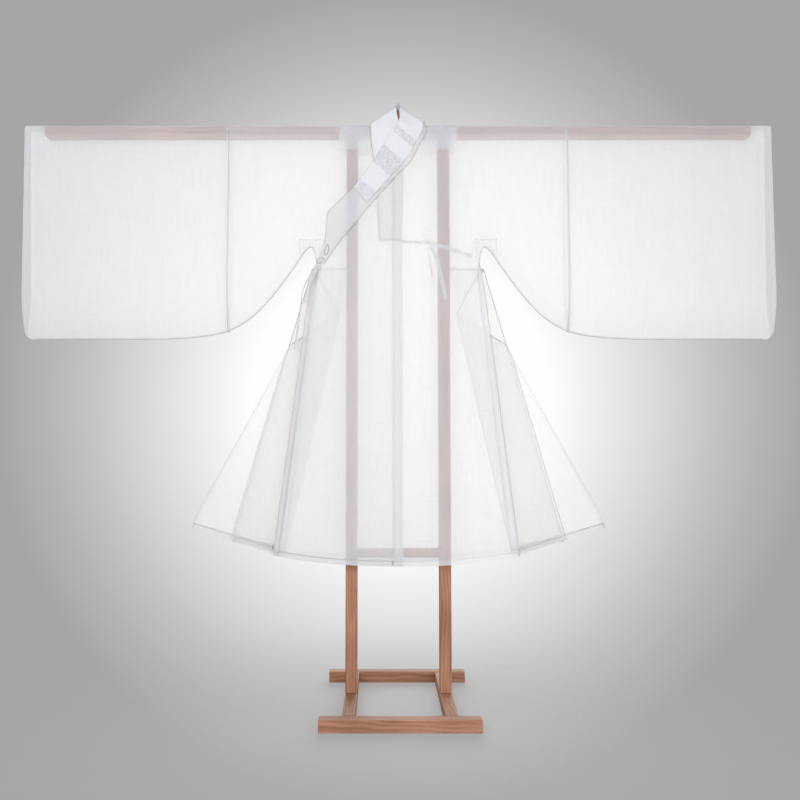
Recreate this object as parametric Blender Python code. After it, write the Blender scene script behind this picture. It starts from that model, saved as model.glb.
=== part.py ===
"""Crossed-collar robe of sheer silk gauze, hung on a wooden stand, at its real size.

Metres, +Z up. The origin lies on the floor midway between the two feet, the front faces -Y and the
wearer's left is at +X. Each panel of the robe is cut flat, in a pattern plane: x runs across the robe, and
t runs along the cloth from the shoulder fold, negative in front and positive behind. It is then hung over
the rail.
"""

import math

import bmesh
import bpy
from mathutils import Vector

# Timber of the stand
TIMBER = 0.034
POST_SPACING = 0.272
FOOT_LENGTH = 0.427
FOOT_SPACING = 0.448
RAIL_TOP = 1.696
RAIL_LENGTH = 2.110
RAIL_DEPTH = 0.040
RAIL_HEIGHT = 0.028
CROSSBAR_BOTTOM = 0.419
CROSSBAR_HEIGHT = 0.026
CROSSBAR_DEPTH = 0.022
NECK_POST_TOP = 1.748
NECK_POST_WIDTH = 0.020
NECK_POST_DEPTH = 0.016
EDGE_ROUNDING = 0.002
RAIL_ROUNDING = 0.003
GAP = 0.0003

# One layer of cloth, and the step from the middle of a layer to the middle of the next one
CLOTH = 0.0012
LAYER = 0.0018
OVERLAP = 2 * LAYER

# The robe's main sizes
SPAN = 2.227
SLEEVE_SEAM = 0.505
SLEEVE_BOTTOM = 1.058
CUFF_CORNER = 0.024
HEM_MIDDLE = 0.4005
HEM_RISE = 0.323
HEM_POWER = 2.3
HEM_HALF_DEPTH = 0.055
NECK_HALF = 0.0755
NECK_FRONT = 1.680
NECK_SIDE = 0.0835
CENTRE_SEAM = -0.0140
INNER_EDGE = 0.0130
UNDER_COLLAR = 0.10
UNDER_INNER_COLLAR = 0.00825
SEAM_HALF_DEPTH = (CLOTH + GAP) / 2
TAPER = 0.16
LIFT_RUN = 0.030
LIFT_FADE = 0.05

# The fold over the rail
FOLD_RADIUS = 0.004
FOLD_Z = RAIL_TOP + 2 * GAP + 1.5 * CLOTH
FOLD_HALF = RAIL_DEPTH / 2 + 2 * GAP + 1.5 * CLOTH
FLAT = FOLD_HALF - FOLD_RADIUS
ARC = FOLD_RADIUS * math.pi / 2
HANG_Z = FOLD_Z - FOLD_RADIUS
HANG_T = FLAT + ARC

# Lines across every panel, at which it can bend
ACROSS = (0.07, 0.125, 0.18, 0.2295, 0.262, 0.2945, 0.33, 0.375, 0.44, 0.66, 0.82, 0.98)
HEIGHTS = (
    1.684, 1.674, 1.664, 1.56, 1.46, 1.40, 1.358, 1.324, 1.29, 1.255,
    1.21, 1.15, 1.07, 0.95, 0.80, 0.65, 0.50,
)

# The closed seam under the sleeve, from the sleeve seam in to the top of the side opening: across, height
UNDERARM = (
    (0.505, 1.080),
    (0.455, 1.1075),
    (0.4075, 1.147),
    (0.3525, 1.212),
    (0.3015, 1.284),
    (0.277, 1.3205),
    (0.258, 1.3355),
    (0.2475, 1.312),
    (0.2435, 1.290),
)
# The bottom of the sleeve from its seam towards the cuff: across, height
SLEEVE_RUN = ((0.505, 1.080), (0.56, 1.0685), (0.62, 1.0615), (0.70, 1.058))
# The side edge of the body and of the outer panel: top height, half width there, and its spread per metre
BODY_SIDE = (1.290, 0.2435, 0.1183)
PANEL_SIDE = (1.275, 0.252, 0.1264)

# The neckline at the back: across, and how far along the cloth from the shoulder fold
BACK_NECK = ((0.0, 0.0328), (0.035, 0.0315), (0.055, 0.0262), (0.068, 0.0160), (NECK_HALF, 0.002))
# The collar round the neck, left half: seam edge and free edge, each x, y, z, from the back to the front
NECK_COLLAR = (
    ((0.0, 0.0250, 1.681), (0.0, 0.0110, 1.768)),
    ((0.023, 0.0250, 1.682), (0.0018, 0.0102, 1.768)),
    ((0.046, 0.0248, 1.684), (0.0032, 0.0086, 1.768)),
    ((0.068, 0.0264, 1.6944), (0.0040, 0.0055, 1.7675)),
    ((0.0790, 0.0184, 1.7024), (0.0045, 0.0020, 1.7665)),
    ((NECK_SIDE, 0.0, 1.7024), (0.0050, -0.0020, 1.7640)),
    ((NECK_SIDE, -0.0184, 1.7024), (0.0052, -0.0075, 1.7590)),
    ((0.0830, -0.0264, 1.6944), (0.0056, -0.0125, 1.7520)),
    ((0.0815, -0.0274, 1.672), (0.0060, -0.0200, 1.7400)),
    ((0.0673, -0.0278, 1.644), (0.0020, -0.0290, 1.7100)),
)
# The outer collar down the chest: seam edge x and z, free edge x and z
OUTER_COLLAR = (
    (0.0353, 1.584, -0.0260, 1.666),
    (-0.0227, 1.523, -0.0690, 1.589),
    (-0.0846, 1.451, -0.1315, 1.508),
    (-0.1180, 1.411, -0.1560, 1.485),
    (-0.1380, 1.387, -0.1815, 1.460),
    (-0.1580, 1.363, -0.2060, 1.434),
    (-0.1800, 1.336, -0.2100, 1.417),
    (-0.2000, 1.310, -0.2175, 1.344),
    (-0.2185, 1.281, -0.2380, 1.294),
)
# The inner collar's front: seam edge x, y and z, free edge x, y and z
INNER_NECK = (
    ((-0.0825, -0.0249, 1.674), (-0.0060, -0.0168, 1.7400)),
    ((-0.0800, -0.0250, 1.640), (0.0040, -0.0247, 1.7000)),
)
INNER_COLLAR = (
    (-0.0740, 1.600, 0.0120, 1.650),
    (-0.0695, 1.575, 0.0150, 1.600),
    (-0.0620, 1.460, 0.0140, 1.460),
    (-0.0555, 1.346, 0.0090, 1.346),
)
COLLAR_COLUMNS = (0.0, 0.22, 0.5, 0.75, 1.0)
GUARD_FIRST_COLUMN = 1
GUARD_START = 2
GUARD_STOP = 5
CHEST_TOP = 1.660
NECK_TOP = 1.690
COLLAR_LIFT = 0.0024
NECK_GUARD_LIFT = 0.0028

# The fold lines of the side gores: half width at the top and at the hem, top height
OUTER_FOLD = ((0.316, 1.041), (0.581, 0.555), (0.6005, 0.500))
INNER_FOLD = ((0.154, 1.268), (0.172, 1.135), (0.330, 0.425))
MIDDLE_FOLD = ((0.2560, 1.268), (0.321, 1.047), (0.488, 0.455))
GORE_TOPS = {"front_seam": 1.066, "outer_fold": 1.041, "inner_fold": 1.135, "back": 1.268}
GORE_TUCK = 0.008
GORE_CLEAR = 0.0022
GORE_ROWS_POWER = 1.5
GORE_ROWS = 10
FOLD_WIDTH = 0.0024
OUTER_FOLD_DEPTH = -0.50
INNER_FOLD_DEPTH = -0.35
MIDDLE_FOLD_DEPTH = 0.20
LEAF_BOW = 0.006

# Small pieces
FACING_INNER = 0.0800
FACING_OUTER = 0.1760
FACING_DROP = 1.6255
PATCH_TOP = 1.358
PATCH_INNER = 0.2295
PATCH_OUTER = 0.2945
PATCH_LIFT = 0.0021
RIBBON = 0.012
LOOP_RIBBON = 0.010

# Ties: across, distance behind the cloth's front, height, turn in degrees from facing the front
OUTER_TIE_KNOT = (-0.2340, 1.2890)
OUTER_TIE_SLOPE = 0.0010
OUTER_TIE_SIZE = (0.018, 0.009, 0.015)
OUTER_TIE_LONG = (
    (-0.2380, -0.0112, 1.2818, 0),
    (-0.2520, -0.0110, 1.2560, 25),
    (-0.2770, -0.0080, 1.2090, 60),
    (-0.2840, -0.0070, 1.1680, 65),
    (-0.2920, -0.0060, 1.0880, 40),
    (-0.3000, -0.0060, 1.0230, 20),
)
OUTER_TIE_SHORT = (
    (-0.2330, -0.0128, 1.2806, 0),
    (-0.2455, -0.0200, 1.2520, 20),
    (-0.2640, -0.0220, 1.2080, 50),
    (-0.2730, -0.0200, 1.1570, 35),
)
INNER_TIE_KNOT = (0.0897, 0.0015, 1.3430)
INNER_TIE_SIZE = (0.014, 0.007, 0.012)
INNER_TIE_PANEL = (
    (0.0040, 0.0022, 1.3460, 0),
    (0.0130, 0.0026, 1.3460, 8),
    (0.0300, 0.0050, 1.3455, 60),
    (0.0550, 0.0050, 1.3445, 65),
    (0.0700, 0.0040, 1.3440, 35),
    (0.0822, 0.0015, 1.3435, 0),
)
INNER_TIE_SIDE = (
    (0.0972, 0.0015, 1.3410, 0),
    (0.1100, 0.0040, 1.3380, 20),
    (0.1360, 0.0036, 1.3300, 20),
    (0.1620, 0.0032, 1.3230, 12),
    (0.1950, 0.0030, 1.3130, 8),
    (0.2200, 0.0028, 1.3060, 0),
)
INNER_TIE_LOOP = (
    (0.0860, 0.0030, 1.3502, 90),
    (0.0775, 0.0030, 1.3580, 90),
    (0.0730, 0.0030, 1.3690, 90),
    (0.0755, 0.0030, 1.3790, 90),
    (0.0830, 0.0030, 1.3830, 90),
    (0.0900, 0.0030, 1.3780, 90),
    (0.0920, 0.0030, 1.3660, 90),
    (0.0912, 0.0030, 1.3502, 90),
)
INNER_TIE_THIN = (
    (0.0892, 0.0060, 1.3364, 90),
    (0.0912, 0.0070, 1.3050, 85),
    (0.0965, 0.0070, 1.2700, 75),
    (0.1010, 0.0070, 1.2360, 65),
)
INNER_TIE_WIDE = (
    (0.0965, 0.0078, 1.3330, 10),
    (0.1060, 0.0066, 1.3130, 20),
    (0.1180, 0.0050, 1.2830, 10),
    (0.1290, 0.0040, 1.2300, 5),
    (0.1400, 0.0040, 1.1710, 0),
)


def material(name, colour, roughness):
    """A plain Principled material."""
    made = bpy.data.materials.new(name)
    made.use_nodes = True
    shader = made.node_tree.nodes["Principled BSDF"]
    shader.inputs["Base Color"].default_value = (*colour, 1.0)
    shader.inputs["Roughness"].default_value = roughness
    shader.inputs["Metallic"].default_value = 0.0
    made.diffuse_color = (*colour, 1.0)
    return made


def add_object(name, mesh, finish):
    """A new object that shows a mesh in one material."""
    obj = bpy.data.objects.new(name, mesh)
    bpy.context.scene.collection.objects.link(obj)
    mesh.materials.append(finish)
    return obj


def ease(share):
    """A smooth step from 0 to 1."""
    share = min(1.0, max(0.0, share))
    return share * share * (3 - 2 * share)


def smooth_line(points, steps):
    """The points with a few more between each two, on a smooth curve through them all."""
    points = [Vector(p) for p in points]
    ends = [2 * points[0] - points[1], *points, 2 * points[-1] - points[-2]]
    line = []
    for a, b, c, d in zip(ends, ends[1:], ends[2:], ends[3:]):
        for k in range(steps):
            u = k / steps
            bend, twist = 2 * a - 5 * b + 4 * c - d, 3 * b - a - 3 * c + d
            line.append(0.5 * (2 * b + (c - a) * u + bend * u**2 + twist * u**3))
    return [*line, points[-1]]


def along(line, height):
    """Where a line of (across, height) rows stands at a height, with its end rows carried on."""
    for (x0, z0), (x1, z1) in zip(line, line[1:]):
        if height >= z1:
            break
    return x0 + (x1 - x0) * (height - z0) / (z1 - z0)


def side_x(side, height):
    """The half width of a side edge at a height."""
    top, width, spread = side
    return width + spread * (top - height)


def hem_z(x):
    """The height of the hem at a place across the robe."""
    return HEM_MIDDLE + HEM_RISE * abs(x) ** HEM_POWER


UNDERARM_LINE = [(p.x, p.y) for p in smooth_line([(x, z, 0) for x, z in UNDERARM], 2)]
CLOSED_SEAM = [(SPAN / 2, SLEEVE_BOTTOM), *reversed(SLEEVE_RUN), *UNDERARM_LINE[1:]]


def seam_distance(x, z):
    """How far a place on the robe is from the closed seam under the sleeve."""
    place = Vector((abs(x), z))
    nearest = SPAN
    for start, end in zip(CLOSED_SEAM, CLOSED_SEAM[1:]):
        a, b = Vector(start), Vector(end)
        share = min(1.0, max(0.0, (place - a).dot(b - a) / (b - a).length_squared))
        nearest = min(nearest, (place - a.lerp(b, share)).length)
    return nearest


def half_depth(x, z):
    """Half the robe's depth: the rail's at the top, more towards the hem, none at the closed seam."""
    fall = max(0.0, CHEST_TOP - z) / (CHEST_TOP - HEM_MIDDLE)
    full = FOLD_HALF + (HEM_HALF_DEPTH - FOLD_HALF) * fall**1.2
    inward = min(1.0, seam_distance(x, z) / TAPER)
    return SEAM_HALF_DEPTH + (full - SEAM_HALF_DEPTH) * (1 - (1 - inward) ** 2)


def drop(z):
    """How far along the cloth a height lies from the shoulder fold."""
    return HANG_T + HANG_Z - z


def hang(x, t, lift=0.0):
    """The place in space of a pattern point, with lift out of the robe's own surface."""
    run, side = abs(t), math.copysign(1.0, t)
    if run <= FLAT:
        return Vector((x, t, FOLD_Z + lift))
    if run <= HANG_T:
        angle = (run - FLAT) / FOLD_RADIUS
        reach = FOLD_RADIUS + lift
        return Vector((x, side * (FLAT + reach * math.sin(angle)), HANG_Z + reach * math.cos(angle)))
    z = HANG_Z - (run - HANG_T)
    return Vector((x, side * (half_depth(x, z) + lift), z))


def overlap_lift(x, t):
    """The lift of the left half's front over what lies under it: none at the shoulder and the seams."""
    if t > -HANG_T:
        return 0.0
    z = HANG_Z + HANG_T + t
    return OVERLAP * ease((HANG_Z - z) / LIFT_RUN) * ease(seam_distance(x, z) / LIFT_FADE)


def on_front(x, z, lift):
    """A point on the robe's front at a place across and a height."""
    return Vector((x, -half_depth(x, z) - lift, z))


def thicken(obj):
    """Gives a sheet the thickness of one layer of cloth, half on each side."""
    wall = obj.modifiers.new("wall", "SOLIDIFY")
    wall.thickness = CLOTH
    wall.offset = 0.0
    wall.use_even_offset = True
    wall.use_quality_normals = True
    return obj


def cut_and_hang(name, outline, place, finish):
    """A panel cut flat to its outline, creased along the shared lines and hung in its place."""
    bm = bmesh.new()
    bm.faces.new([bm.verts.new((x, t, 0.0)) for x, t in outline])
    runs = [0.0, FLAT, FLAT + ARC / 2, HANG_T, *[drop(z) for z in HEIGHTS]]
    lines = [((s * x, 0, 0), (1, 0, 0)) for x in ACROSS for s in (-1, 1)]
    lines += [((0, s * t, 0), (0, 1, 0)) for t in runs for s in (-1, 1)]
    for point, normal in lines:
        shapes = [*bm.verts, *bm.edges, *bm.faces]
        bmesh.ops.bisect_plane(bm, geom=shapes, dist=1e-6, plane_co=point, plane_no=normal)
    bmesh.ops.remove_doubles(bm, verts=bm.verts, dist=1e-5)
    bmesh.ops.triangulate(bm, faces=bm.faces)
    for vert in bm.verts:
        vert.co = place(vert.co.x, vert.co.y)
    mesh = bpy.data.meshes.new(name)
    bm.to_mesh(mesh)
    bm.free()
    mesh.shade_smooth()
    return thicken(add_object(name, mesh, finish))


def grid_sheet(name, rows, finish):
    """A sheet through rows of points, each row as long as the next."""
    width = len(rows[0])
    points = [p for row in rows for p in row]
    faces = []
    for r in range(len(rows) - 1):
        for c in range(width - 1):
            a = r * width + c
            faces.append((a, a + 1, a + width + 1))
            faces.append((a, a + width + 1, a + width))
    mesh = bpy.data.meshes.new(name)
    mesh.from_pydata(points, [], faces)
    mesh.update()
    mesh.shade_smooth()
    return thicken(add_object(name, mesh, finish))


def bar(name, low, high, rounding, finish):
    """A timber bar between two corners, with rounded edges."""
    low, high = Vector(low), Vector(high)
    bm = bmesh.new()
    bmesh.ops.create_cube(bm, size=1.0)
    for vert in bm.verts:
        vert.co = Vector([c * (b - a) for c, a, b in zip(vert.co, low, high)])
    mesh = bpy.data.meshes.new(name)
    bm.to_mesh(mesh)
    bm.free()
    obj = add_object(name, mesh, finish)
    obj.location = (low + high) / 2
    edge = obj.modifiers.new("edges", "BEVEL")
    edge.width = rounding
    edge.segments = 2
    return obj


def knot(name, centre, size, finish):
    """A small pulled knot of ribbon."""
    bm = bmesh.new()
    bmesh.ops.create_uvsphere(bm, u_segments=12, v_segments=7, radius=0.5)
    for vert in bm.verts:
        vert.co = Vector([c * s for c, s in zip(vert.co, size)])
    mesh = bpy.data.meshes.new(name)
    bm.to_mesh(mesh)
    bm.free()
    mesh.shade_smooth()
    obj = add_object(name, mesh, finish)
    obj.location = centre
    return obj


def ribbon(name, table, width, finish):
    """A flat ribbon along a table of across, distance behind the front, height and turn in degrees."""
    route = smooth_line([on_front(x, z, -back) for x, back, z, turn in table], 2)
    turns = [v.x for v in smooth_line([(turn, 0, 0) for x, back, z, turn in table], 2)]
    rows = []
    for k, (centre, turn) in enumerate(zip(route, turns)):
        ahead = route[min(k + 1, len(route) - 1)] - route[max(k - 1, 0)]
        in_plane = Vector((ahead.z, 0, -ahead.x)).normalized()
        angle = math.radians(turn)
        edge = in_plane * math.cos(angle) + Vector((0, 1, 0)) * math.sin(angle)
        rows.append([centre + edge * width / 2, centre - edge * width / 2])
    return grid_sheet(name, rows, finish)


def stand(wood):
    """The wooden stand: two feet, two runners, two posts, the lower crossbar, the rail and the neck post."""
    half, foot_y, post_x = TIMBER / 2, FOOT_SPACING / 2, POST_SPACING / 2
    rail_bottom = RAIL_TOP - RAIL_HEIGHT
    for name, y in (("front", -foot_y), ("rear", foot_y)):
        corner = (FOOT_LENGTH / 2, y + half, TIMBER)
        bar(f"stand_{name}_foot", (-FOOT_LENGTH / 2, y - half, 0), corner, EDGE_ROUNDING, wood)
    for name, x in (("left", post_x), ("right", -post_x)):
        reach = foot_y - half - GAP
        bar(f"stand_{name}_runner", (x - half, -reach, 0), (x + half, reach, TIMBER), EDGE_ROUNDING, wood)
        low = (x - half, -half, TIMBER + GAP)
        bar(f"stand_{name}_post", low, (x + half, half, rail_bottom - GAP), EDGE_ROUNDING, wood)
    reach = post_x - half - GAP
    depth = CROSSBAR_DEPTH / 2
    top = CROSSBAR_BOTTOM + CROSSBAR_HEIGHT
    bar("stand_lower_crossbar", (-reach, -depth, CROSSBAR_BOTTOM), (reach, depth, top), EDGE_ROUNDING, wood)
    low = (-RAIL_LENGTH / 2, -RAIL_DEPTH / 2, rail_bottom)
    bar("stand_top_rail", low, (RAIL_LENGTH / 2, RAIL_DEPTH / 2, RAIL_TOP), RAIL_ROUNDING, wood)
    low = (-NECK_POST_WIDTH / 2, -NECK_POST_DEPTH / 2, RAIL_TOP + GAP)
    high = (NECK_POST_WIDTH / 2, NECK_POST_DEPTH / 2, NECK_POST_TOP)
    bar("stand_neck_post", low, high, EDGE_ROUNDING, wood)


def outer_neckline():
    """The front neckline of the outer layer, just under the collar's seam edge, from the neck to the tie."""
    (seam_x, seam_y, top_z), (free_x, free_y, free_z) = NECK_COLLAR[-1]
    rows = [(seam_x, top_z, free_x, free_z), *OUTER_COLLAR]
    return [(sx + (fx - sx) * UNDER_COLLAR, sz + (fz - sz) * UNDER_COLLAR) for sx, sz, fx, fz in rows]


def height_at(line, x):
    """The height of a line of (across, height) rows at a place across, on a line that runs towards -X."""
    for (x0, z0), (x1, z1) in zip(line, line[1:]):
        if x1 <= x <= x0:
            return z0 + (z1 - z0) * (x - x0) / (x1 - x0)
    raise ValueError("the line doesn't reach there")


def body_edge(inner_x):
    """One side of a body half, from the sleeve seam under the arm and along the hem: across, height."""
    corner = side_x(BODY_SIDE, hem_z(side_x(BODY_SIDE, HEM_MIDDLE)))
    hem = [corner * k / 8 for k in range(8, 0, -1) if corner * k / 8 > inner_x]
    return [*UNDERARM_LINE, *[(x, hem_z(x)) for x in hem], (inner_x, hem_z(inner_x))]


def back_outline(sign):
    """The back of a body half, from the sleeve seam's bottom to the neck: pattern points."""
    inner = GAP / 2
    back = [(x, drop(z)) for x, z in body_edge(inner)]
    return [(sign * x, t) for x, t in [*back, (inner, BACK_NECK[0][1]), *BACK_NECK[1:]]]


def body_left(cloth):
    """The wearer's left half, whose front lies over the right half."""
    line = outer_neckline()
    seam = CENTRE_SEAM + GAP / 2
    neck = [(NECK_HALF, -0.012), (NECK_HALF, -drop(NECK_FRONT))]
    neck += [(x, -drop(z)) for x, z in line if x > seam] + [(seam, -drop(height_at(line, seam)))]
    front = [(x, -drop(z)) for x, z in body_edge(0.0)]
    front[-1] = (seam, -drop(hem_z(seam)))
    outline = [*back_outline(1), *neck, *reversed(front)]
    cut_and_hang("body_left", outline, lambda x, t: hang(x, t, overlap_lift(x, t)), cloth)


def body_right(cloth):
    """The wearer's right half, whose front ends in the inner edge under the left half."""
    line = [(seam[0] + UNDER_INNER_COLLAR, seam[2]) for seam, free in INNER_NECK]
    line += [(sx + UNDER_INNER_COLLAR, sz) for sx, sz, fx, fz in INNER_COLLAR]
    foot = line[-1][1] + UNDER_INNER_COLLAR
    line[-1] = (line[-1][0], foot)
    neck = [(-NECK_HALF, -0.012), *[(x, -drop(z)) for x, z in line], (INNER_EDGE, -drop(foot))]
    front = [(-x, -drop(z)) for x, z in body_edge(0.0)]
    hem = [(INNER_EDGE, -drop(hem_z(INNER_EDGE)))]
    outline = [*back_outline(-1), *neck, *hem, *reversed(front)]
    cut_and_hang("body_right", outline, hang, cloth)


def outer_front_panel(cloth):
    """The overlap panel from the centre seam to its free edge over the wearer's right side."""
    line = outer_neckline()
    seam = CENTRE_SEAM - GAP / 2
    top = [(seam, height_at(line, seam)), *[(x, z) for x, z in line if x < seam]]
    top += [(-0.236, 1.2805), (-0.248, 1.2765)]
    free = [(-side_x(PANEL_SIDE, z), z) for z in (PANEL_SIDE[0] - 0.006, 0.9)]
    corner = -side_x(PANEL_SIDE, hem_z(side_x(PANEL_SIDE, HEM_MIDDLE)))
    hem = [(corner * k / 8, hem_z(corner * k / 8)) for k in range(8, 0, -1)]
    outline = [(x, -drop(z)) for x, z in [*top, *free, *hem, (seam, hem_z(seam))]]
    cut_and_hang("outer_front_panel", outline, lambda x, t: hang(x, t, OVERLAP), cloth)


def sleeve(name, sign, cloth):
    """A sleeve extension: folded at the top, closed along the bottom and open at the cuff."""
    cuff, radius = SPAN / 2, CUFF_CORNER
    bottom = [(SLEEVE_SEAM + GAP, SLEEVE_RUN[0][1]), *SLEEVE_RUN[1:]]
    for k in range(5):
        angle = math.radians(90 * k / 4)
        x = cuff - radius + radius * math.sin(angle)
        bottom.append((x, SLEEVE_BOTTOM + radius - radius * math.cos(angle)))
    rounding = ((0.0, drop(1.684)), (0.0015, HANG_T), (0.0035, FLAT), (0.006, 0.0))
    upper = [(cuff - inset, t) for inset, t in rounding]
    back = [(x, drop(z)) for x, z in bottom]
    half = [*back, *upper]
    outline = [*half, *[(x, -t) for x, t in reversed(half[:-1])]]
    cut_and_hang(name, [(sign * x, t) for x, t in outline], hang, cloth)


def neck_facing(name, sign, cloth):
    """The facing inside the shoulder beside the neck, between the rail and the body."""
    reach = drop(FACING_DROP)
    outline = [(FACING_INNER, -reach), (FACING_OUTER, -reach), (FACING_OUTER, reach), (FACING_INNER, reach)]
    place = [(sign * x, t) for x, t in outline]
    cut_and_hang(name, place, lambda x, t: hang(x, t, -(CLOTH + GAP)), cloth)


def underarm_patch(name, sign, cloth):
    """The square reinforcement on the front of the underarm, cut back along the seam."""
    curve = [(x, z) for x, z in UNDERARM_LINE if x < PATCH_OUTER]
    last = next(p for p in reversed(UNDERARM_LINE) if p[0] >= PATCH_OUTER)
    low = height_at([last, curve[0]], PATCH_OUTER)
    outline = [(PATCH_INNER, PATCH_TOP), (PATCH_OUTER, PATCH_TOP), (PATCH_OUTER, low), *curve]
    outline += [(PATCH_INNER, curve[-1][1])]
    place = [(sign * x, -drop(z)) for x, z in outline]

    def lifted(x, t):
        return hang(x, t, PATCH_LIFT + (overlap_lift(x, t) if sign > 0 else 0.0))

    cut_and_hang(name, place, lifted, cloth)


def collar_rows():
    """The collar's rows of points from its inner end to the tie, each from the seam edge to the free edge."""
    neck = [tuple(map(Vector, row)) for row in NECK_COLLAR]
    mirrored = [(Vector((-s.x, s.y, s.z)), Vector((-f.x, f.y, f.z))) for s, f in neck[1:-2]]
    inner_neck = [tuple(map(Vector, row)) for row in INNER_NECK]
    inner = [(on_front(sx, sz, LAYER), on_front(fx, fz, LAYER)) for sx, sz, fx, fz in INNER_COLLAR]
    lift = OVERLAP + COLLAR_LIFT
    outer = [(on_front(sx, sz, lift), on_front(fx, fz, lift)) for sx, sz, fx, fz in OUTER_COLLAR]
    stations = [*reversed(inner), *reversed(inner_neck), *reversed(mirrored), *neck, *outer]
    middle = len(inner) + len(inner_neck) + len(mirrored)
    rows = []
    for k, (s, f) in enumerate(stations):
        row = [s.lerp(f, share) for share in COLLAR_COLUMNS]
        chest = [on_front(p.x, p.z, LAYER if k < middle else lift) for p in row]
        rows.append([low if p.z < CHEST_TOP else p for p, low in zip(row, chest)])
    return rows


def collar(cloth, guard_cloth):
    """The collar band, and the guard that lies over its neck edge."""
    rows = collar_rows()
    grid_sheet("collar", rows, cloth)
    guard = []
    for r, row in enumerate(rows):
        before, after = rows[max(r - 1, 0)], rows[min(r + 1, len(rows) - 1)]
        moved = []
        for c in range(GUARD_FIRST_COLUMN, len(row)):
            width = row[min(c + 1, len(row) - 1)] - row[c - 1]
            normal = width.cross(after[c] - before[c]).normalized()
            moved.append(row[c] + normal * (NECK_GUARD_LIFT if row[c].z > NECK_TOP else LAYER))
        guard.append(moved)
    grid_sheet("collar_guard", guard[GUARD_START : len(guard) - GUARD_STOP], guard_cloth)


def fold_point(line, z, depth, shift, sign):
    """A point of a gore's fold line: its depth is a share of the robe's own depth, then shifted back."""
    x = along(line, z)
    inside = half_depth(x, z) - LAYER
    return Vector((sign * x, depth * inside + shift, z))


def seam_point(z, front, sign):
    """A point where a gore is sewn inside the front or back edge of the body."""
    x = side_x(BODY_SIDE, z) - GORE_TUCK
    y = half_depth(x, z) - GORE_CLEAR
    return Vector((sign * x, -y if front else y, z))


def gore(name, columns, finish):
    """A folded gore through columns, each a top height and a function that gives its point at a height."""
    rows = []
    for r in range(GORE_ROWS + 1):
        row = []
        for c, (top, place) in enumerate(columns):
            low = hem_z(place(0.45).x)
            row.append(place(top + (low - top) * (r / GORE_ROWS) ** GORE_ROWS_POWER))
        full = [row[0]]
        for c in range(1, len(row)):
            if (row[c] - row[c - 1]).length > 4 * FOLD_WIDTH:
                bow = Vector((0, LEAF_BOW * r / GORE_ROWS, 0))
                full += [row[c - 1].lerp(row[c], 0.34) + bow, row[c - 1].lerp(row[c], 0.67) + 0.8 * bow]
            full.append(row[c])
        rows.append(full)
    return grid_sheet(name, rows, finish)


def gores(side, sign, cloth):
    """The two folded gores of one side: the outer one from the front, and the inner one from the back."""
    edge = FOLD_WIDTH / 2

    def on_fold(line, depth, shift):
        return lambda z: fold_point(line, z, depth, shift, sign)

    front = [
        (GORE_TOPS["front_seam"], lambda z: seam_point(z, True, sign)),
        (GORE_TOPS["outer_fold"], on_fold(OUTER_FOLD, OUTER_FOLD_DEPTH, -edge)),
        (GORE_TOPS["outer_fold"], on_fold(OUTER_FOLD, OUTER_FOLD_DEPTH, edge)),
        (GORE_TOPS["inner_fold"], on_fold(INNER_FOLD, INNER_FOLD_DEPTH, 0.0)),
    ]
    gore(f"gore_front_{side}", front, cloth)
    back = [
        (GORE_TOPS["back"], on_fold(INNER_FOLD, INNER_FOLD_DEPTH, LAYER)),
        (GORE_TOPS["back"], on_fold(MIDDLE_FOLD, MIDDLE_FOLD_DEPTH, -edge)),
        (GORE_TOPS["back"], on_fold(MIDDLE_FOLD, MIDDLE_FOLD_DEPTH, edge)),
        (GORE_TOPS["back"], lambda z: seam_point(z, False, sign)),
    ]
    gore(f"gore_back_{side}", back, cloth)


def ties(cloth):
    """The knotted tie outside at the wearer's right, and the one inside at the left."""
    x, z = OUTER_TIE_KNOT
    clear = OVERLAP + COLLAR_LIFT + (CLOTH + OUTER_TIE_SIZE[1]) / 2 + GAP + OUTER_TIE_SLOPE
    knot("outer_tie_knot", on_front(x, z, clear), OUTER_TIE_SIZE, cloth)
    ribbon("outer_tie_long", OUTER_TIE_LONG, RIBBON, cloth)
    ribbon("outer_tie_short", OUTER_TIE_SHORT, RIBBON, cloth)
    x, back, z = INNER_TIE_KNOT
    knot("inner_tie_knot", on_front(x, z, -back), INNER_TIE_SIZE, cloth)
    ribbon("inner_tie_panel_strand", INNER_TIE_PANEL, RIBBON, cloth)
    ribbon("inner_tie_side_strand", INNER_TIE_SIDE, RIBBON, cloth)
    ribbon("inner_tie_loop", INNER_TIE_LOOP, LOOP_RIBBON, cloth)
    ribbon("inner_tie_end_thin", INNER_TIE_THIN, RIBBON, cloth)
    ribbon("inner_tie_end_wide", INNER_TIE_WIDE, RIBBON, cloth)


def main():
    for old in list(bpy.data.objects):
        bpy.data.objects.remove(old)
    wood = material("wood", (0.42, 0.22, 0.12), 0.5)
    cloth = material("gauze", (0.86, 0.85, 0.83), 0.6)
    guard = material("guard", (0.90, 0.90, 0.93), 0.45)
    stand(wood)
    body_left(cloth)
    body_right(cloth)
    outer_front_panel(cloth)
    for side, sign in (("left", 1), ("right", -1)):
        sleeve(f"sleeve_{side}", sign, cloth)
        neck_facing(f"neck_facing_{side}", sign, cloth)
        underarm_patch(f"underarm_patch_{side}", sign, cloth)
        gores(side, sign, cloth)
    collar(cloth, guard)
    ties(cloth)


main()
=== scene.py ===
"""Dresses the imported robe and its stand: sheer silk gauze, opaque collar guard, oiled timber and the stage.

Metres, +Z up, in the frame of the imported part. Each panel of the robe is cut flat in a pattern plane: x runs
across the robe, and t runs along the cloth from the shoulder fold, negative in front and positive behind. It
is then hung over the rail, and every crease, turning and stitch follows the same hung surface.
"""

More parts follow.
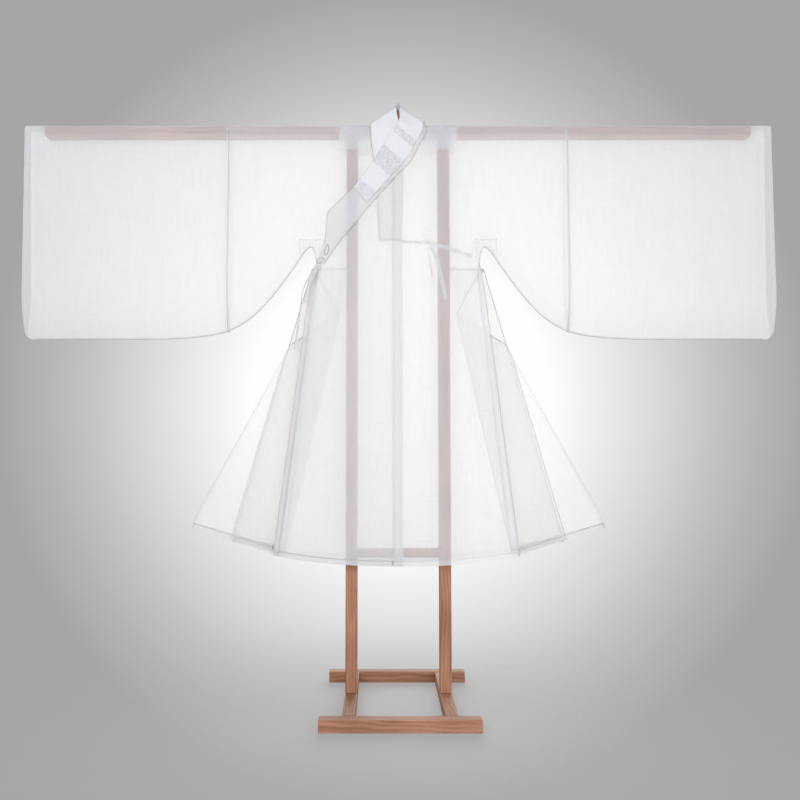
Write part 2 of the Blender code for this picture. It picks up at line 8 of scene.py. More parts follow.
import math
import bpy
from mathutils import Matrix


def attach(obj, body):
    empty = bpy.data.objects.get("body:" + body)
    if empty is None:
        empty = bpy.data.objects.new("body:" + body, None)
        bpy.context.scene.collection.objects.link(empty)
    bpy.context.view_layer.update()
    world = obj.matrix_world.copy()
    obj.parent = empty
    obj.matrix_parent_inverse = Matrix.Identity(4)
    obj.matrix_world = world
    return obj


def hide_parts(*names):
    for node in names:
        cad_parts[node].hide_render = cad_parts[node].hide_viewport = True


bl_info = {
    "name": "Gauze robe on a stand",
    "version": (1, 0, 0),
    "blender": (4, 5, 0),
    "location": "3D View > Sidebar > Robe",
    "description": "Hangs a crossed-collar robe of sheer silk on its wooden stand and sets its stage",
    "category": "Add Mesh",
}

import bpy
import numpy as np
from mathutils import Vector
from mathutils.geometry import delaunay_2d_cdt

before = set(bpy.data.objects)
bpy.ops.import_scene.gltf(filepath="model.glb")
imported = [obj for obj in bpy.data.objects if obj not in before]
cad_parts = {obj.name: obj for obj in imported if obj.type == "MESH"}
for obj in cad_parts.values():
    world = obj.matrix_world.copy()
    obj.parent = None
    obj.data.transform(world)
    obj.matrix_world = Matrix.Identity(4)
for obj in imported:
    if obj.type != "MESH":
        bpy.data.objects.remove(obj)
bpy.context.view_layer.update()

# Timber of the stand
RAIL_TOP = 1.696
RAIL_DEPTH = 0.040
GAP = 0.0003

# One layer of cloth in the solids, and the step from the middle of a layer to the middle of the next one
CLOTH = 0.0012
LAYER = 0.0018
OVERLAP = 2 * LAYER

# The robe's main sizes
SPAN = 2.227
SLEEVE_SEAM = 0.505
SLEEVE_BOTTOM = 1.058
CUFF_CORNER = 0.024
CUFF_SLANT = (0.004, 0.010)
HEM_MIDDLE = 0.4005
HEM_RISE = 0.323
HEM_POWER = 2.3
HEM_HALF_DEPTH = 0.055
NECK_HALF = 0.0755
NECK_FRONT = 1.680
NECK_SIDE = 0.0835
CENTRE_SEAM = -0.0140
INNER_EDGE = 0.0130
UNDER_COLLAR = 0.10
UNDER_INNER_COLLAR = 0.00825
SEAM_HALF_DEPTH = (CLOTH + GAP) / 2
TAPER = 0.16
LIFT_RUN = 0.030
LIFT_FADE = 0.05

# The fold over the rail
FOLD_RADIUS = 0.004
FOLD_Z = RAIL_TOP + 2 * GAP + 1.5 * CLOTH
FOLD_HALF = RAIL_DEPTH / 2 + 2 * GAP + 1.5 * CLOTH
FLAT = FOLD_HALF - FOLD_RADIUS
ARC = FOLD_RADIUS * math.pi / 2
HANG_Z = FOLD_Z - FOLD_RADIUS
HANG_T = FLAT + ARC

# The closed seam under the sleeve, from the sleeve seam in to the top of the side opening: across, height
UNDERARM = (
    (0.505, 1.080),
    (0.455, 1.1075),
    (0.4075, 1.147),
    (0.3525, 1.212),
    (0.3015, 1.284),
    (0.277, 1.3205),
    (0.258, 1.3355),
    (0.2475, 1.312),
    (0.2435, 1.290),
)
# The bottom of the sleeve from its seam towards the cuff: across, height
SLEEVE_RUN = ((0.505, 1.080), (0.56, 1.0685), (0.62, 1.0615), (0.70, 1.058))
# The side edge of the body and of the outer panel: top height, half width there, and its spread per metre
BODY_SIDE = (1.290, 0.2435, 0.1183)
PANEL_SIDE = (1.275, 0.252, 0.1264)

# The neckline at the back: across, and how far along the cloth from the shoulder fold
BACK_NECK = ((0.0, 0.0328), (0.035, 0.0315), (0.055, 0.0262), (0.068, 0.0160), (NECK_HALF, 0.002))
# The collar round the neck, left half: seam edge and free edge, each x, y, z, from the back to the front
NECK_COLLAR = (
    ((0.0, 0.0250, 1.681), (0.0, 0.0110, 1.782)),
    ((0.023, 0.0250, 1.682), (0.0018, 0.0102, 1.781)),
    ((0.046, 0.0248, 1.684), (0.0032, 0.0086, 1.778)),
    ((0.068, 0.0264, 1.6944), (0.0040, 0.0055, 1.7675)),
    ((0.0790, 0.0184, 1.7024), (0.0045, 0.0020, 1.7665)),
    ((NECK_SIDE, 0.0, 1.7024), (0.0050, -0.0020, 1.7640)),
    ((NECK_SIDE, -0.0184, 1.7024), (0.0052, -0.0075, 1.7590)),
    ((0.0830, -0.0264, 1.6944), (0.0044, -0.0125, 1.7540)),
    ((0.0815, -0.0274, 1.672), (0.0040, -0.0200, 1.7400)),
    ((0.0673, -0.0278, 1.644), (0.0020, -0.0290, 1.7100)),
)
# The outer collar down the chest: seam edge x and z, free edge x and z
OUTER_COLLAR = (
    (0.0353, 1.584, -0.0260, 1.666),
    (-0.0227, 1.523, -0.0690, 1.589),
    (-0.0846, 1.451, -0.1315, 1.508),
    (-0.1180, 1.411, -0.1560, 1.485),
    (-0.1380, 1.387, -0.1815, 1.460),
    (-0.1580, 1.363, -0.2060, 1.434),
    (-0.1800, 1.336, -0.2100, 1.417),
    (-0.2000, 1.310, -0.2175, 1.344),
    (-0.2185, 1.281, -0.2380, 1.294),
)
# The inner collar's front: seam edge x, y and z, free edge x, y and z
INNER_NECK = (
    ((-0.0825, -0.0249, 1.674), (-0.0040, -0.0168, 1.7400)),
    ((-0.0800, -0.0250, 1.640), (0.0040, -0.0247, 1.7000)),
)
INNER_COLLAR = (
    (-0.0740, 1.600, 0.0120, 1.650),
    (-0.0695, 1.575, 0.0150, 1.600),
    (-0.0620, 1.460, 0.0140, 1.460),
    (-0.0555, 1.346, 0.0090, 1.346),
)
COLLAR_COLUMNS = (0.0, 0.22, 0.5, 0.75, 1.0)
GUARD_INSETS = (0.02, 0.15)
GUARD_START = 2
GUARD_STOP = 6
CHEST_TOP = 1.660
NECK_TOP = 1.690
COLLAR_LIFT = 0.0024
NECK_GUARD_LIFT = 0.0028

# The fold lines of the side gores: half width at the top and at the hem, top height
OUTER_FOLD = ((0.316, 1.041), (0.581, 0.555), (0.6005, 0.500))
INNER_FOLD = ((0.154, 1.268), (0.172, 1.135), (0.330, 0.425))
MIDDLE_FOLD = ((0.2560, 1.268), (0.321, 1.047), (0.488, 0.455))
GORE_TOPS = {"front_seam": 1.066, "outer_fold": 1.041, "inner_fold": 1.135, "back": 1.268}
GORE_TUCK = 0.008
GORE_CLEAR = 0.0022
GORE_ROWS_POWER = 1.5
FOLD_WIDTH = 0.0024
OUTER_FOLD_DEPTH = -0.50
INNER_FOLD_DEPTH = -0.35
MIDDLE_FOLD_DEPTH = 0.20
LEAF_BOW = 0.006

# Small pieces
FACING_INNER = 0.0800
FACING_OUTER = 0.1760
FACING_DROP = 1.6255
PATCH_TOP = 1.358
PATCH_INNER = 0.2295
PATCH_OUTER = 0.2945
PATCH_LIFT = 0.0021
RIBBON = 0.012
LOOP_RIBBON = 0.010

# Ties: across, distance behind the cloth's front, height, turn in degrees from facing the front
OUTER_TIE_KNOT = (-0.2340, 1.2890)
OUTER_TIE_SLOPE = 0.0010
OUTER_TIE_SIZE = (0.018, 0.009, 0.015)
INNER_TIE_KNOT = (0.0897, 0.0015, 1.3430)
INNER_TIE_SIZE = (0.014, 0.007, 0.012)
TIES = {
    "outer_tie_long": (
        (-0.2380, -0.0112, 1.2818, 0),
        (-0.2520, -0.0110, 1.2560, 25),
        (-0.2770, -0.0080, 1.2090, 60),
        (-0.2840, -0.0070, 1.1680, 65),
        (-0.2920, -0.0060, 1.0880, 40),
        (-0.3000, -0.0060, 1.0230, 20),
    ),
    "outer_tie_short": (
        (-0.2330, -0.0128, 1.2806, 0),
        (-0.2455, -0.0200, 1.2520, 20),
        (-0.2640, -0.0220, 1.2080, 50),
        (-0.2730, -0.0200, 1.1570, 35),
    ),
    "inner_tie_panel_strand": (
        (0.0040, 0.0022, 1.3460, 0),
        (0.0130, 0.0026, 1.3460, 8),
        (0.0300, 0.0050, 1.3455, 60),
        (0.0550, 0.0050, 1.3445, 65),
        (0.0700, 0.0040, 1.3440, 35),
        (0.0822, 0.0015, 1.3435, 0),
    ),
    "inner_tie_side_strand": (
        (0.0972, 0.0015, 1.3410, 0),
        (0.1100, 0.0040, 1.3380, 20),
        (0.1360, 0.0036, 1.3300, 20),
        (0.1620, 0.0032, 1.3230, 12),
        (0.1950, 0.0030, 1.3130, 8),
        (0.2200, 0.0028, 1.3060, 0),
    ),
    "inner_tie_loop": (
        (0.0860, 0.0030, 1.3502, 90),
        (0.0775, 0.0030, 1.3580, 90),
        (0.0730, 0.0030, 1.3690, 90),
        (0.0755, 0.0030, 1.3790, 90),
        (0.0830, 0.0030, 1.3830, 90),
        (0.0900, 0.0030, 1.3780, 90),
        (0.0920, 0.0030, 1.3660, 90),
        (0.0912, 0.0030, 1.3502, 90),
    ),
    "inner_tie_end_thin": (
        (0.0892, 0.0060, 1.3364, 90),
        (0.0912, 0.0070, 1.3050, 85),
        (0.0965, 0.0070, 1.2700, 75),
        (0.1010, 0.0070, 1.2360, 65),
    ),
    "inner_tie_end_wide": (
        (0.0965, 0.0078, 1.3330, 10),
        (0.1060, 0.0066, 1.3130, 20),
        (0.1180, 0.0050, 1.2830, 10),
        (0.1290, 0.0040, 1.2300, 5),
        (0.1400, 0.0040, 1.1710, 0),
    ),
}

# Soft creases: side (-1 front, 1 back, 0 both), start and end as across and height, half width, rise out of
# the cloth, and how far the line bows to one side
CREASES = (
    (-1, 0.330, 1.630, 0.470, 1.150, 0.024, -0.0026, 0.020),
    (-1, 0.405, 1.640, 0.500, 1.230, 0.020, 0.0020, 0.012),
    (-1, 0.215, 1.610, 0.310, 1.330, 0.018, 0.0016, -0.010),
    (-1, 0.535, 1.655, 0.525, 1.190, 0.016, -0.0020, 0.006),
    (-1, 0.640, 1.655, 0.600, 1.130, 0.026, 0.0026, -0.015),
    (-1, 0.735, 1.640, 0.750, 1.120, 0.030, -0.0024, 0.018),
    (-1, 0.860, 1.650, 0.905, 1.100, 0.034, 0.0028, 0.014),
    (-1, 0.990, 1.640, 1.010, 1.150, 0.026, -0.0022, -0.012),
    (-1, 1.075, 1.650, 1.060, 1.090, 0.018, 0.0030, 0.010),
    (-1, -0.335, 1.640, -0.480, 1.160, 0.026, -0.0026, -0.018),
    (-1, -0.250, 1.600, -0.315, 1.350, 0.018, 0.0018, 0.008),
    (-1, -0.430, 1.640, -0.500, 1.210, 0.018, 0.0022, -0.010),
    (-1, -0.550, 1.650, -0.530, 1.170, 0.018, -0.0022, 0.008),
    (-1, -0.660, 1.650, -0.615, 1.140, 0.028, 0.0024, 0.016),
    (-1, -0.770, 1.640, -0.790, 1.110, 0.030, -0.0026, -0.014),
    (-1, -0.890, 1.650, -0.930, 1.120, 0.030, 0.0028, 0.012),
    (-1, -1.000, 1.640, -1.020, 1.100, 0.024, -0.0020, -0.008),
    (-1, -1.085, 1.650, -1.070, 1.100, 0.016, 0.0028, 0.006),
    (-1, 0.150, 1.560, 0.185, 1.330, 0.016, 0.0014, 0.006),
    (-1, 0.060, 1.230, 0.072, 0.430, 0.022, 0.0030, 0.010),
    (-1, 0.115, 1.180, 0.150, 0.440, 0.020, -0.0022, -0.008),
    (-1, 0.190, 1.230, 0.245, 0.450, 0.022, 0.0028, 0.010),
    (-1, -0.075, 1.220, -0.090, 0.430, 0.022, -0.0024, -0.010),
    (-1, -0.150, 1.210, -0.185, 0.440, 0.018, 0.0030, 0.006),
    (-1, -0.215, 1.240, -0.270, 0.500, 0.016, -0.0022, -0.006),
    (-1, -0.290, 0.800, -0.330, 0.450, 0.018, 0.0026, 0.004),
    (1, 0.320, 1.630, 0.455, 1.170, 0.026, -0.0026, 0.016),
    (1, 0.420, 1.640, 0.500, 1.220, 0.018, 0.0020, 0.010),
    (1, 0.560, 1.650, 0.540, 1.180, 0.020, -0.0020, -0.006),
    (1, 0.680, 1.650, 0.650, 1.120, 0.030, 0.0028, 0.014),
    (1, 0.830, 1.640, 0.850, 1.110, 0.030, -0.0024, -0.014),
    (1, 0.960, 1.650, 0.980, 1.090, 0.028, 0.0028, 0.010),
    (1, 1.070, 1.640, 1.060, 1.120, 0.018, -0.0020, 0.006),
    (1, -0.310, 1.630, -0.470, 1.160, 0.026, -0.0028, -0.018),
    (1, -0.410, 1.640, -0.500, 1.230, 0.020, 0.0022, -0.010),
    (1, -0.580, 1.650, -0.550, 1.160, 0.022, 0.0024, 0.008),
    (1, -0.700, 1.640, -0.720, 1.120, 0.028, -0.0026, 0.012),
    (1, -0.850, 1.650, -0.880, 1.100, 0.032, 0.0028, -0.014),
    (1, -1.010, 1.640, -1.000, 1.130, 0.022, -0.0022, 0.008),
    (1, 0.085, 1.600, 0.110, 1.250, 0.022, 0.0022, 0.010),
    (1, -0.095, 1.590, -0.120, 1.260, 0.024, 0.0022, -0.010),
    (1, 0.055, 1.180, 0.070, 0.440, 0.024, -0.0024, 0.008),
    (1, 0.140, 1.220, 0.180, 0.440, 0.022, 0.0032, -0.008),
    (1, 0.225, 1.200, 0.290, 0.450, 0.018, -0.0022, 0.006),
    (1, -0.070, 1.200, -0.085, 0.430, 0.022, 0.0028, -0.008),
    (1, -0.150, 1.210, -0.190, 0.440, 0.024, -0.0026, 0.010),
    (1, -0.235, 1.190, -0.295, 0.450, 0.018, 0.0028, -0.006),
)
# Pinched folds of the shoulders at the rail: across at the rail and below it, half width, and rise
SHOULDER_FOLDS = (
    (-0.1800, -0.1880, 0.0040, 0.0030),
    (-0.0960, -0.0930, 0.0035, 0.0026),
    (0.0900, 0.1060, 0.0045, 0.0032),
    (0.1930, 0.1880, 0.0035, 0.0026),
    (0.1500, 0.1330, 0.0060, 0.0018),
    (-0.1350, -0.1480, 0.0060, 0.0018),
)
# Fine crumples: waves per metre across and up the cloth, phase, and rise
CRUMPLES = (
    (23.0, 7.0, 0.4, 0.00026),
    (-17.0, 11.0, 1.9, 0.00024),
    (41.0, -5.0, 3.1, 0.00014),
    (9.0, 29.0, 4.4, 0.00014),
    (-33.0, 21.0, 5.2, 0.00010),
    (57.0, 13.0, 2.3, 0.00007),
)

# Backdrop: how far a direction is from the middle of the glow, as a slope, and the brightness there
GLOW = (
    (0.1875, 0.991),
    (0.2175, 0.913),
    (0.2775, 0.783),
    (0.3540, 0.624),
    (0.3960, 0.539),
    (0.4460, 0.462),
    (0.5125, 0.381),
)
GLOW_CENTRE = (0.0238, 0.998, 0.0624)
GLOW_REACH = 0.6

# Bands of silver grains across the guard's outer part: from and to, along the collar
GUARD_BANDS = ((-1.2400, -1.2160), (-1.1696, -1.1060), (-1.0440, -1.0000))
GUARD_OUTER = 1.702

CAMERA_PLACE = (-0.0505, -2.357, 0.740)
CAMERA_PITCH = math.atan(47 / 800)
CAMERA_SHIFT = 0.02375


class RobeSettings(bpy.types.PropertyGroup):
    """Sizes and colours of the dressed robe."""

    mesh_pitch: bpy.props.FloatProperty(
        name="Mesh pitch", description="Distance between the points of a panel",
        default=0.0085, unit="LENGTH"
    )
    hem_turning: bpy.props.FloatProperty(
        name="Hem turning", description="Width of the turned-up hem", default=0.016, unit="LENGTH"
    )
    edge_turning: bpy.props.FloatProperty(
        name="Edge turning", description="Width of the panel's turned free edge",
        default=0.017, unit="LENGTH"
    )
    seam_allowance: bpy.props.FloatProperty(
        name="Seam allowance", description="Width of the cloth turned in at a seam",
        default=0.007, unit="LENGTH"
    )
    ridge: bpy.props.FloatProperty(
        name="Seam ridge", description="Width of the rolled ridge along a seam",
        default=0.0019, unit="LENGTH"
    )
    stitch_pitch: bpy.props.FloatProperty(
        name="Stitch pitch", description="From one stitch to the next", default=0.0032, unit="LENGTH"
    )
    stitch_length: bpy.props.FloatProperty(
        name="Stitch length", description="Length of one stitch", default=0.0021, unit="LENGTH"
    )
    stitch_width: bpy.props.FloatProperty(
        name="Stitch width", description="Thickness of the sewing thread", default=0.0005, unit="LENGTH"
    )
    weave_pitch: bpy.props.FloatProperty(
        name="Weave pitch", description="From one thread of the gauze to the next",
        default=0.0009, unit="LENGTH"
    )
    cover: bpy.props.FloatProperty(
        name="Cover", description="Share of the gauze that its threads cover", default=0.56, subtype="FACTOR"
    )
    silk: bpy.props.FloatVectorProperty(
        name="Silk", description="Colour of the gauze in front light",
        default=(0.755, 0.848, 0.96), subtype="COLOR"
    )
    silk_through: bpy.props.FloatVectorProperty(
        name="Silk, lit through", description="Colour of the gauze with light behind it",
        default=(0.965, 0.775, 0.56), subtype="COLOR",
    )
    thread: bpy.props.FloatVectorProperty(
        name="Thread", description="Colour of the sewing thread", default=(0.62, 0.57, 0.53), subtype="COLOR"
    )
    guard_light: bpy.props.FloatVectorProperty(
        name="Guard, light", description="Smooth silk of the collar guard", default=(0.585, 0.585, 0.63),
        subtype="COLOR",
    )
    guard_silver: bpy.props.FloatVectorProperty(
        name="Guard, silver", description="Figured silk of the collar guard", default=(0.40, 0.405, 0.44),
        subtype="COLOR",
    )
    wood_light: bpy.props.FloatVectorProperty(
        name="Wood, light", description="Early wood of the timber",
        default=(0.46, 0.235, 0.142), subtype="COLOR"
    )
    wood_dark: bpy.props.FloatVectorProperty(
        name="Wood, dark", description="Late wood of the timber",
        default=(0.215, 0.092, 0.050), subtype="COLOR"
    )
    floor: bpy.props.FloatVectorProperty(
        name="Floor", description="Colour of the studio floor", default=(0.44, 0.44, 0.44), subtype="COLOR"
    )


class Value:
    """A number or vector from a shader node, for use in Python expressions."""

    def __init__(self, graph, socket):
        self.graph = graph
        self.socket = socket

    def maths(self, operation, *others):
        return self.graph.add("ShaderNodeMath", {"operation": operation}, dict(enumerate((self, *others))))

    def __add__(self, other):
        return self.maths("ADD", other)

    __radd__ = __add__

    def __mul__(self, other):
        return self.maths("MULTIPLY", other)

    __rmul__ = __mul__

    def __sub__(self, other):
        return self.maths("SUBTRACT", other)

    def __rsub__(self, other):
        return self.graph.add("ShaderNodeMath", {"operation": "SUBTRACT"}, {0: other, 1: self})

    def __truediv__(self, other):
        return self.maths("DIVIDE", other)

    def __pow__(self, other):
        return self.maths("POWER", other)

    def __abs__(self):
        return self.maths("ABSOLUTE")

    def sine(self):
        return self.maths("SINE")

    def at_least(self, other):
        return self.maths("MAXIMUM", other)

    def at_most(self, other):
        return self.maths("MINIMUM", other)


class Graph:
    """The nodes of one material or of the world, made from expressions."""

    def __init__(self, tree):
        self.tree = tree
        tree.nodes.clear()

    def add(self, kind, settings=None, inputs=None, out=0):
        """A node of a kind, its settings first, then its sockets' values or links. Gives its outputs."""
        node = self.tree.nodes.new(kind)
        for name, setting in (settings or {}).items():
            if name == "stops":
                ramp = node.color_ramp
                while len(ramp.elements) < len(setting):
                    ramp.elements.new(1.0)
                for element, (position, colour) in zip(ramp.elements, setting):
                    element.position = position
                    element.color = (*colour, 1.0)
            else:
                setattr(node, name, setting)
        for name, value in (inputs or {}).items():
            if isinstance(value, Value):
                self.tree.links.new(value.socket, node.inputs[name])
            else:
                node.inputs[name].default_value = value
        if isinstance(out, tuple):
            return [Value(self, node.outputs[name]) for name in out]
        return Value(self, node.outputs[out]) if len(node.outputs) else node

    def place(self):
        """The place of a point on the object: its x, y and z."""
        spot = self.add("ShaderNodeTexCoord", out="Object")
        return self.add("ShaderNodeSeparateXYZ", inputs={0: spot}, out=("X", "Y", "Z"))

    def vector(self, x, y, z):
        return self.add("ShaderNodeCombineXYZ", inputs={0: x, 1: y, 2: z})

    def noise(self, vector, detail=2.0, roughness=0.5):
        """Smooth noise from 0 to 1, one blotch for each unit of the vector."""
        inputs = {"Vector": vector, "Scale": 1.0, "Detail": detail, "Roughness": roughness}
        return self.add("ShaderNodeTexNoise", {"noise_dimensions": "3D"}, inputs)

    def blend(self, share, first, second):
        """A colour between two colours."""
        settings = {"data_type": "RGBA"}
        return self.add("ShaderNodeMix", settings, {0: share, 6: first, 7: second}, out=2)

    def bump(self, height, distance, strength=1.0):
        return self.add("ShaderNodeBump",
            inputs={"Strength": strength, "Distance": distance, "Height": height})

    def finish(self, surface):
        self.add("ShaderNodeOutputMaterial", inputs={"Surface": surface})


def rgba(colour):
    return (*colour, 1.0)


def new_graph(name):
    """A new material and the graph of its nodes."""
    made = bpy.data.materials.new(name)
    made.use_nodes = True
    return made, Graph(made.node_tree)


def gauze_material(name, settings, cover, turn=0.0, tint=(1.0, 1.0, 1.0)):
    """Sheer silk gauze: a plain weave of uneven threads, turned by some degrees, open between them."""
    made, g = new_graph(name)
    x, y, z = g.place()
    angle = math.radians(turn)
    up = z + y
    across = x * math.cos(angle) + up * math.sin(angle)
    along_cloth = up * math.cos(angle) - x * math.sin(angle)
    turns = 2 * math.pi / settings.weave_pitch
    warp, weft = (across * turns).sine() * 0.5 + 0.5, (along_cloth * turns).sine() * 0.5 + 0.5
    threads = warp.at_least(weft)
    warp_slubs = g.noise(g.vector(across * 420.0, along_cloth * 9.0, y * 3.0), 3.0)
    weft_slubs = g.noise(g.vector(across * 7.0, along_cloth * 380.0, y * 3.0), 3.0)
    clouds = g.noise(g.vector(across * 14.0, along_cloth * 9.0, y * 9.0), 2.0)
    uneven = (warp_slubs - 0.5) * 0.07 + (weft_slubs - 0.5) * 0.05 + (clouds - 0.5) * 0.06
    covered = threads * 0.16 + uneven + (cover - 0.11)
    crinkle = g.noise(g.vector(across * 55.0, along_cloth * 26.0, y * 20.0), 4.0, 0.6)
    height = crinkle * 1.0 + warp_slubs * 0.10 + threads * 0.10
    normal = g.bump(height, 0.0016, 0.55)
    shade = (warp_slubs * 0.5 + weft_slubs * 0.5).at_most(1.0)
    front = tuple(a * b for a, b in zip(settings.silk, tint))
    colour = g.blend(shade, rgba(c * 0.93 for c in front), rgba(front))
    lit = g.add("ShaderNodeBsdfPrincipled", inputs={
        "Base Color": colour, "Roughness": 0.55, "Specular IOR Level": 0.25, "Sheen Weight": 0.15,
        "Sheen Roughness": 0.4, "Normal": normal,
    })
    through = rgba(a * b for a, b in zip(settings.silk_through, tint))
    glow = g.add("ShaderNodeBsdfTranslucent", inputs={"Color": through})
    silk = g.add("ShaderNodeMixShader", inputs={0: 0.33, 1: lit, 2: glow})
    gaps = g.add("ShaderNodeBsdfTransparent")
    g.finish(g.add("ShaderNodeMixShader", inputs={0: covered.at_least(0.0).at_most(1.0), 1: gaps, 2: silk}))
    return made


def thread_material(name, colour):
    """Twisted sewing thread."""
    made, g = new_graph(name)
    x, y, z = g.place()
    twist = ((x + y + z) * 9000.0).sine() * 0.5 + 0.5
    worn = g.noise(g.vector(x * 60.0, y * 60.0, z * 60.0))
    base = g.blend(twist * 0.6 + worn * 0.4, rgba(c * 0.78 for c in colour), rgba(colour))
    normal = g.bump(twist, 0.0001, 0.5)
    g.finish(g.add("ShaderNodeBsdfPrincipled",
        inputs={"Base Color": base, "Roughness": 0.6, "Normal": normal}))
    return made


def guard_material(settings):
    """Opaque silk: bands of small silver grains across the collar between smooth bright ones."""
    made, g = new_graph("guard_silk")
    x, y, z = g.place()
    run, side = x * -0.68 + z * -0.73, z * 0.68 - x * 0.73
    wavy = run + (side * 60.0).sine() * 0.0015
    band = None
    for start, stop in GUARD_BANDS:
        inside_band = ((wavy - start) * 700.0).at_least(0.0).at_most(1.0)
        inside_band = inside_band * ((stop - wavy) * 700.0).at_least(0.0).at_most(1.0)
        band = inside_band if band is None else band + inside_band
    band = band * ((GUARD_OUTER - z + x * 1.4576) * 900.0).at_least(0.0).at_most(1.0)
    cells = g.add("ShaderNodeTexVoronoi", {"feature": "F1"},
        {"Vector": g.vector(x, y, z), "Scale": 640.0}, out="Color")
    grains = g.add("ShaderNodeSeparateXYZ", inputs={0: cells}, out="X")
    fine = g.noise(g.vector(x * 900.0, y * 900.0, z * 900.0), 3.0, 0.65)
    satin = g.noise(g.vector(run * 30.0, side * 260.0, y * 30.0), 3.0, 0.55)
    smooth = g.blend(satin * 0.35, rgba(settings.guard_light), rgba(c * 0.93 for c in settings.guard_light))
    silver = g.blend((grains * 1.9 - 0.5 + fine * 0.3).at_least(0.0).at_most(1.0),
        rgba(settings.guard_silver),
                     rgba(settings.guard_light))
    colour = g.blend(band, smooth, silver)
    normal = g.bump(grains * 0.8 * band + fine * 0.25 + satin * 0.3, 0.0007, 0.55)
    rough = 0.48 - grains * band * 0.2
    g.finish(g.add("ShaderNodeBsdfPrincipled", inputs={
        "Base Color": colour, "Roughness": rough, "Sheen Weight": 0.15, "Normal": normal,
    }))
    return made


def wood_material(name, settings, axis):
    """Oiled timber with its grain along one axis, fine pores and a few darker streaks."""
    made, g = new_graph(name)
    place = g.place()
    run = place.pop("xyz".index(axis))
    a, b = place
    sway = g.noise(g.vector(run * 4.0, a * 10.0, b * 10.0), 2.0)
    rings = ((a * 1.0 + b * 0.7 + sway * 0.045) * 620.0).sine() * 0.5 + 0.5
    streaks = g.noise(g.vector(run * 6.0, a * 110.0, b * 110.0), 4.0, 0.6)
    pores = g.noise(g.vector(run * 90.0, a * 1900.0, b * 1900.0), 2.0, 0.7)
    flecks = g.noise(g.vector(run * 26.0, a * 620.0, b * 620.0), 3.0, 0.6)
    figure = g.noise(g.vector(run * 5.0, a * 9.0, b * 9.0), 2.0)
    share = (streaks * 1.5 + rings * 0.34 + figure * 1.3 - 1.08).at_least(0.0).at_most(1.0)
    base = g.blend(share, rgba(settings.wood_dark), rgba(settings.wood_light))
    dark = ((0.46 - pores) * 5.0).at_least(0.0).at_most(1.0) * 0.45
    dark = dark + ((0.40 - flecks) * 6.0).at_least(0.0).at_most(1.0) * 0.30
    colour = g.blend(dark, base, rgba(c * 0.45 for c in settings.wood_dark))
    normal = g.bump(streaks * 0.4 + pores * 0.6 - dark * 0.6, 0.0006, 0.5)
    rough = 0.58 + streaks * 0.14 + dark * 0.2
    g.finish(g.add("ShaderNodeBsdfPrincipled", inputs={
        "Base Color": colour, "Roughness": rough, "Specular IOR Level": 0.3, "Normal": normal,
    }))
    return made


def floor_material(settings):
    """Pale studio floor that fades into the backdrop all round."""
    made, g = new_graph("floor")
    x, y, z = g.place()
    away = (x * x + y * y) ** 0.5
    fade = (1.0 - away / 1.35).at_least(0.0)
    mottle = g.noise(g.vector(x * 2.0, y * 2.0, 0.0))
    colour = g.blend(mottle, rgba(c * 0.96 for c in settings.floor), rgba(settings.floor))
    plain = g.add("ShaderNodeBsdfPrincipled", inputs={"Base Color": colour, "Roughness": 0.8})
    clear = g.add("ShaderNodeBsdfTransparent")
    g.finish(g.add("ShaderNodeMixShader", inputs={0: (fade * fade * 1.1).at_most(0.6), 1: clear, 2: plain}))
    return made


def ease(share):
    """A smooth step from 0 to 1."""
    share = np.clip(share, 0.0, 1.0)
    return share * share * (3 - 2 * share)


def smooth_line(points, steps):
    """The points with a few more between each two, on a smooth curve through them all."""
    points = np.asarray(points, float)
    ends = np.concatenate([[2 * points[0] - points[1]], points, [2 * points[-1] - points[-2]]])
    line = []
    for a, b, c, d in zip(ends, ends[1:], ends[2:], ends[3:]):
        for k in range(steps):
            u = k / steps
            bend, twist = 2 * a - 5 * b + 4 * c - d, 3 * b - a - 3 * c + d
            line.append(0.5 * (2 * b + (c - a) * u + bend * u**2 + twist * u**3))
    return np.array([*line, points[-1]])


def along(line, height):
    """Where a line of (across, height) rows stands at a height, with its end rows carried on."""
    for (x0, z0), (x1, z1) in zip(line, line[1:]):
        if height >= z1:
            break
    return x0 + (x1 - x0) * (height - z0) / (z1 - z0)


def side_x(side, height):
    """The half width of a side edge at a height."""
    top, width, spread = side
    return width + spread * (top - height)


def hem_z(x):
    """The height of the hem at a place across the robe."""
    return HEM_MIDDLE + HEM_RISE * np.abs(x) ** HEM_POWER


UNDERARM_LINE = smooth_line(UNDERARM, 4)
CLOSED_SEAM = [(SPAN / 2, SLEEVE_BOTTOM), *reversed(SLEEVE_RUN), *smooth_line(UNDERARM, 2)[1:]]


def seam_distance(x, z):
    """How far a place on the robe is from the closed seam under the sleeve."""
    x = np.abs(x)
    nearest = np.full(np.broadcast(x, z).shape, SPAN)
    for (ax, az), (bx, bz) in zip(CLOSED_SEAM, CLOSED_SEAM[1:]):
        dx, dz = bx - ax, bz - az
        share = np.clip(((x - ax) * dx + (z - az) * dz) / (dx * dx + dz * dz), 0.0, 1.0)
        nearest = np.minimum(nearest, np.hypot(x - ax - share * dx, z - az - share * dz))
    return nearest


def half_depth(x, z):
    """Half the robe's depth: the rail's at the top, more towards the hem, none at the closed seam."""
    fall = np.maximum(0.0, CHEST_TOP - z) / (CHEST_TOP - HEM_MIDDLE)
    full = FOLD_HALF + (HEM_HALF_DEPTH - FOLD_HALF) * fall**1.2
    inward = np.minimum(1.0, seam_distance(x, z) / TAPER)
    return SEAM_HALF_DEPTH + (full - SEAM_HALF_DEPTH) * (1 - (1 - inward) ** 2)


def drop(z):
    """How far along the cloth a height lies from the shoulder fold."""
    return HANG_T + HANG_Z - z


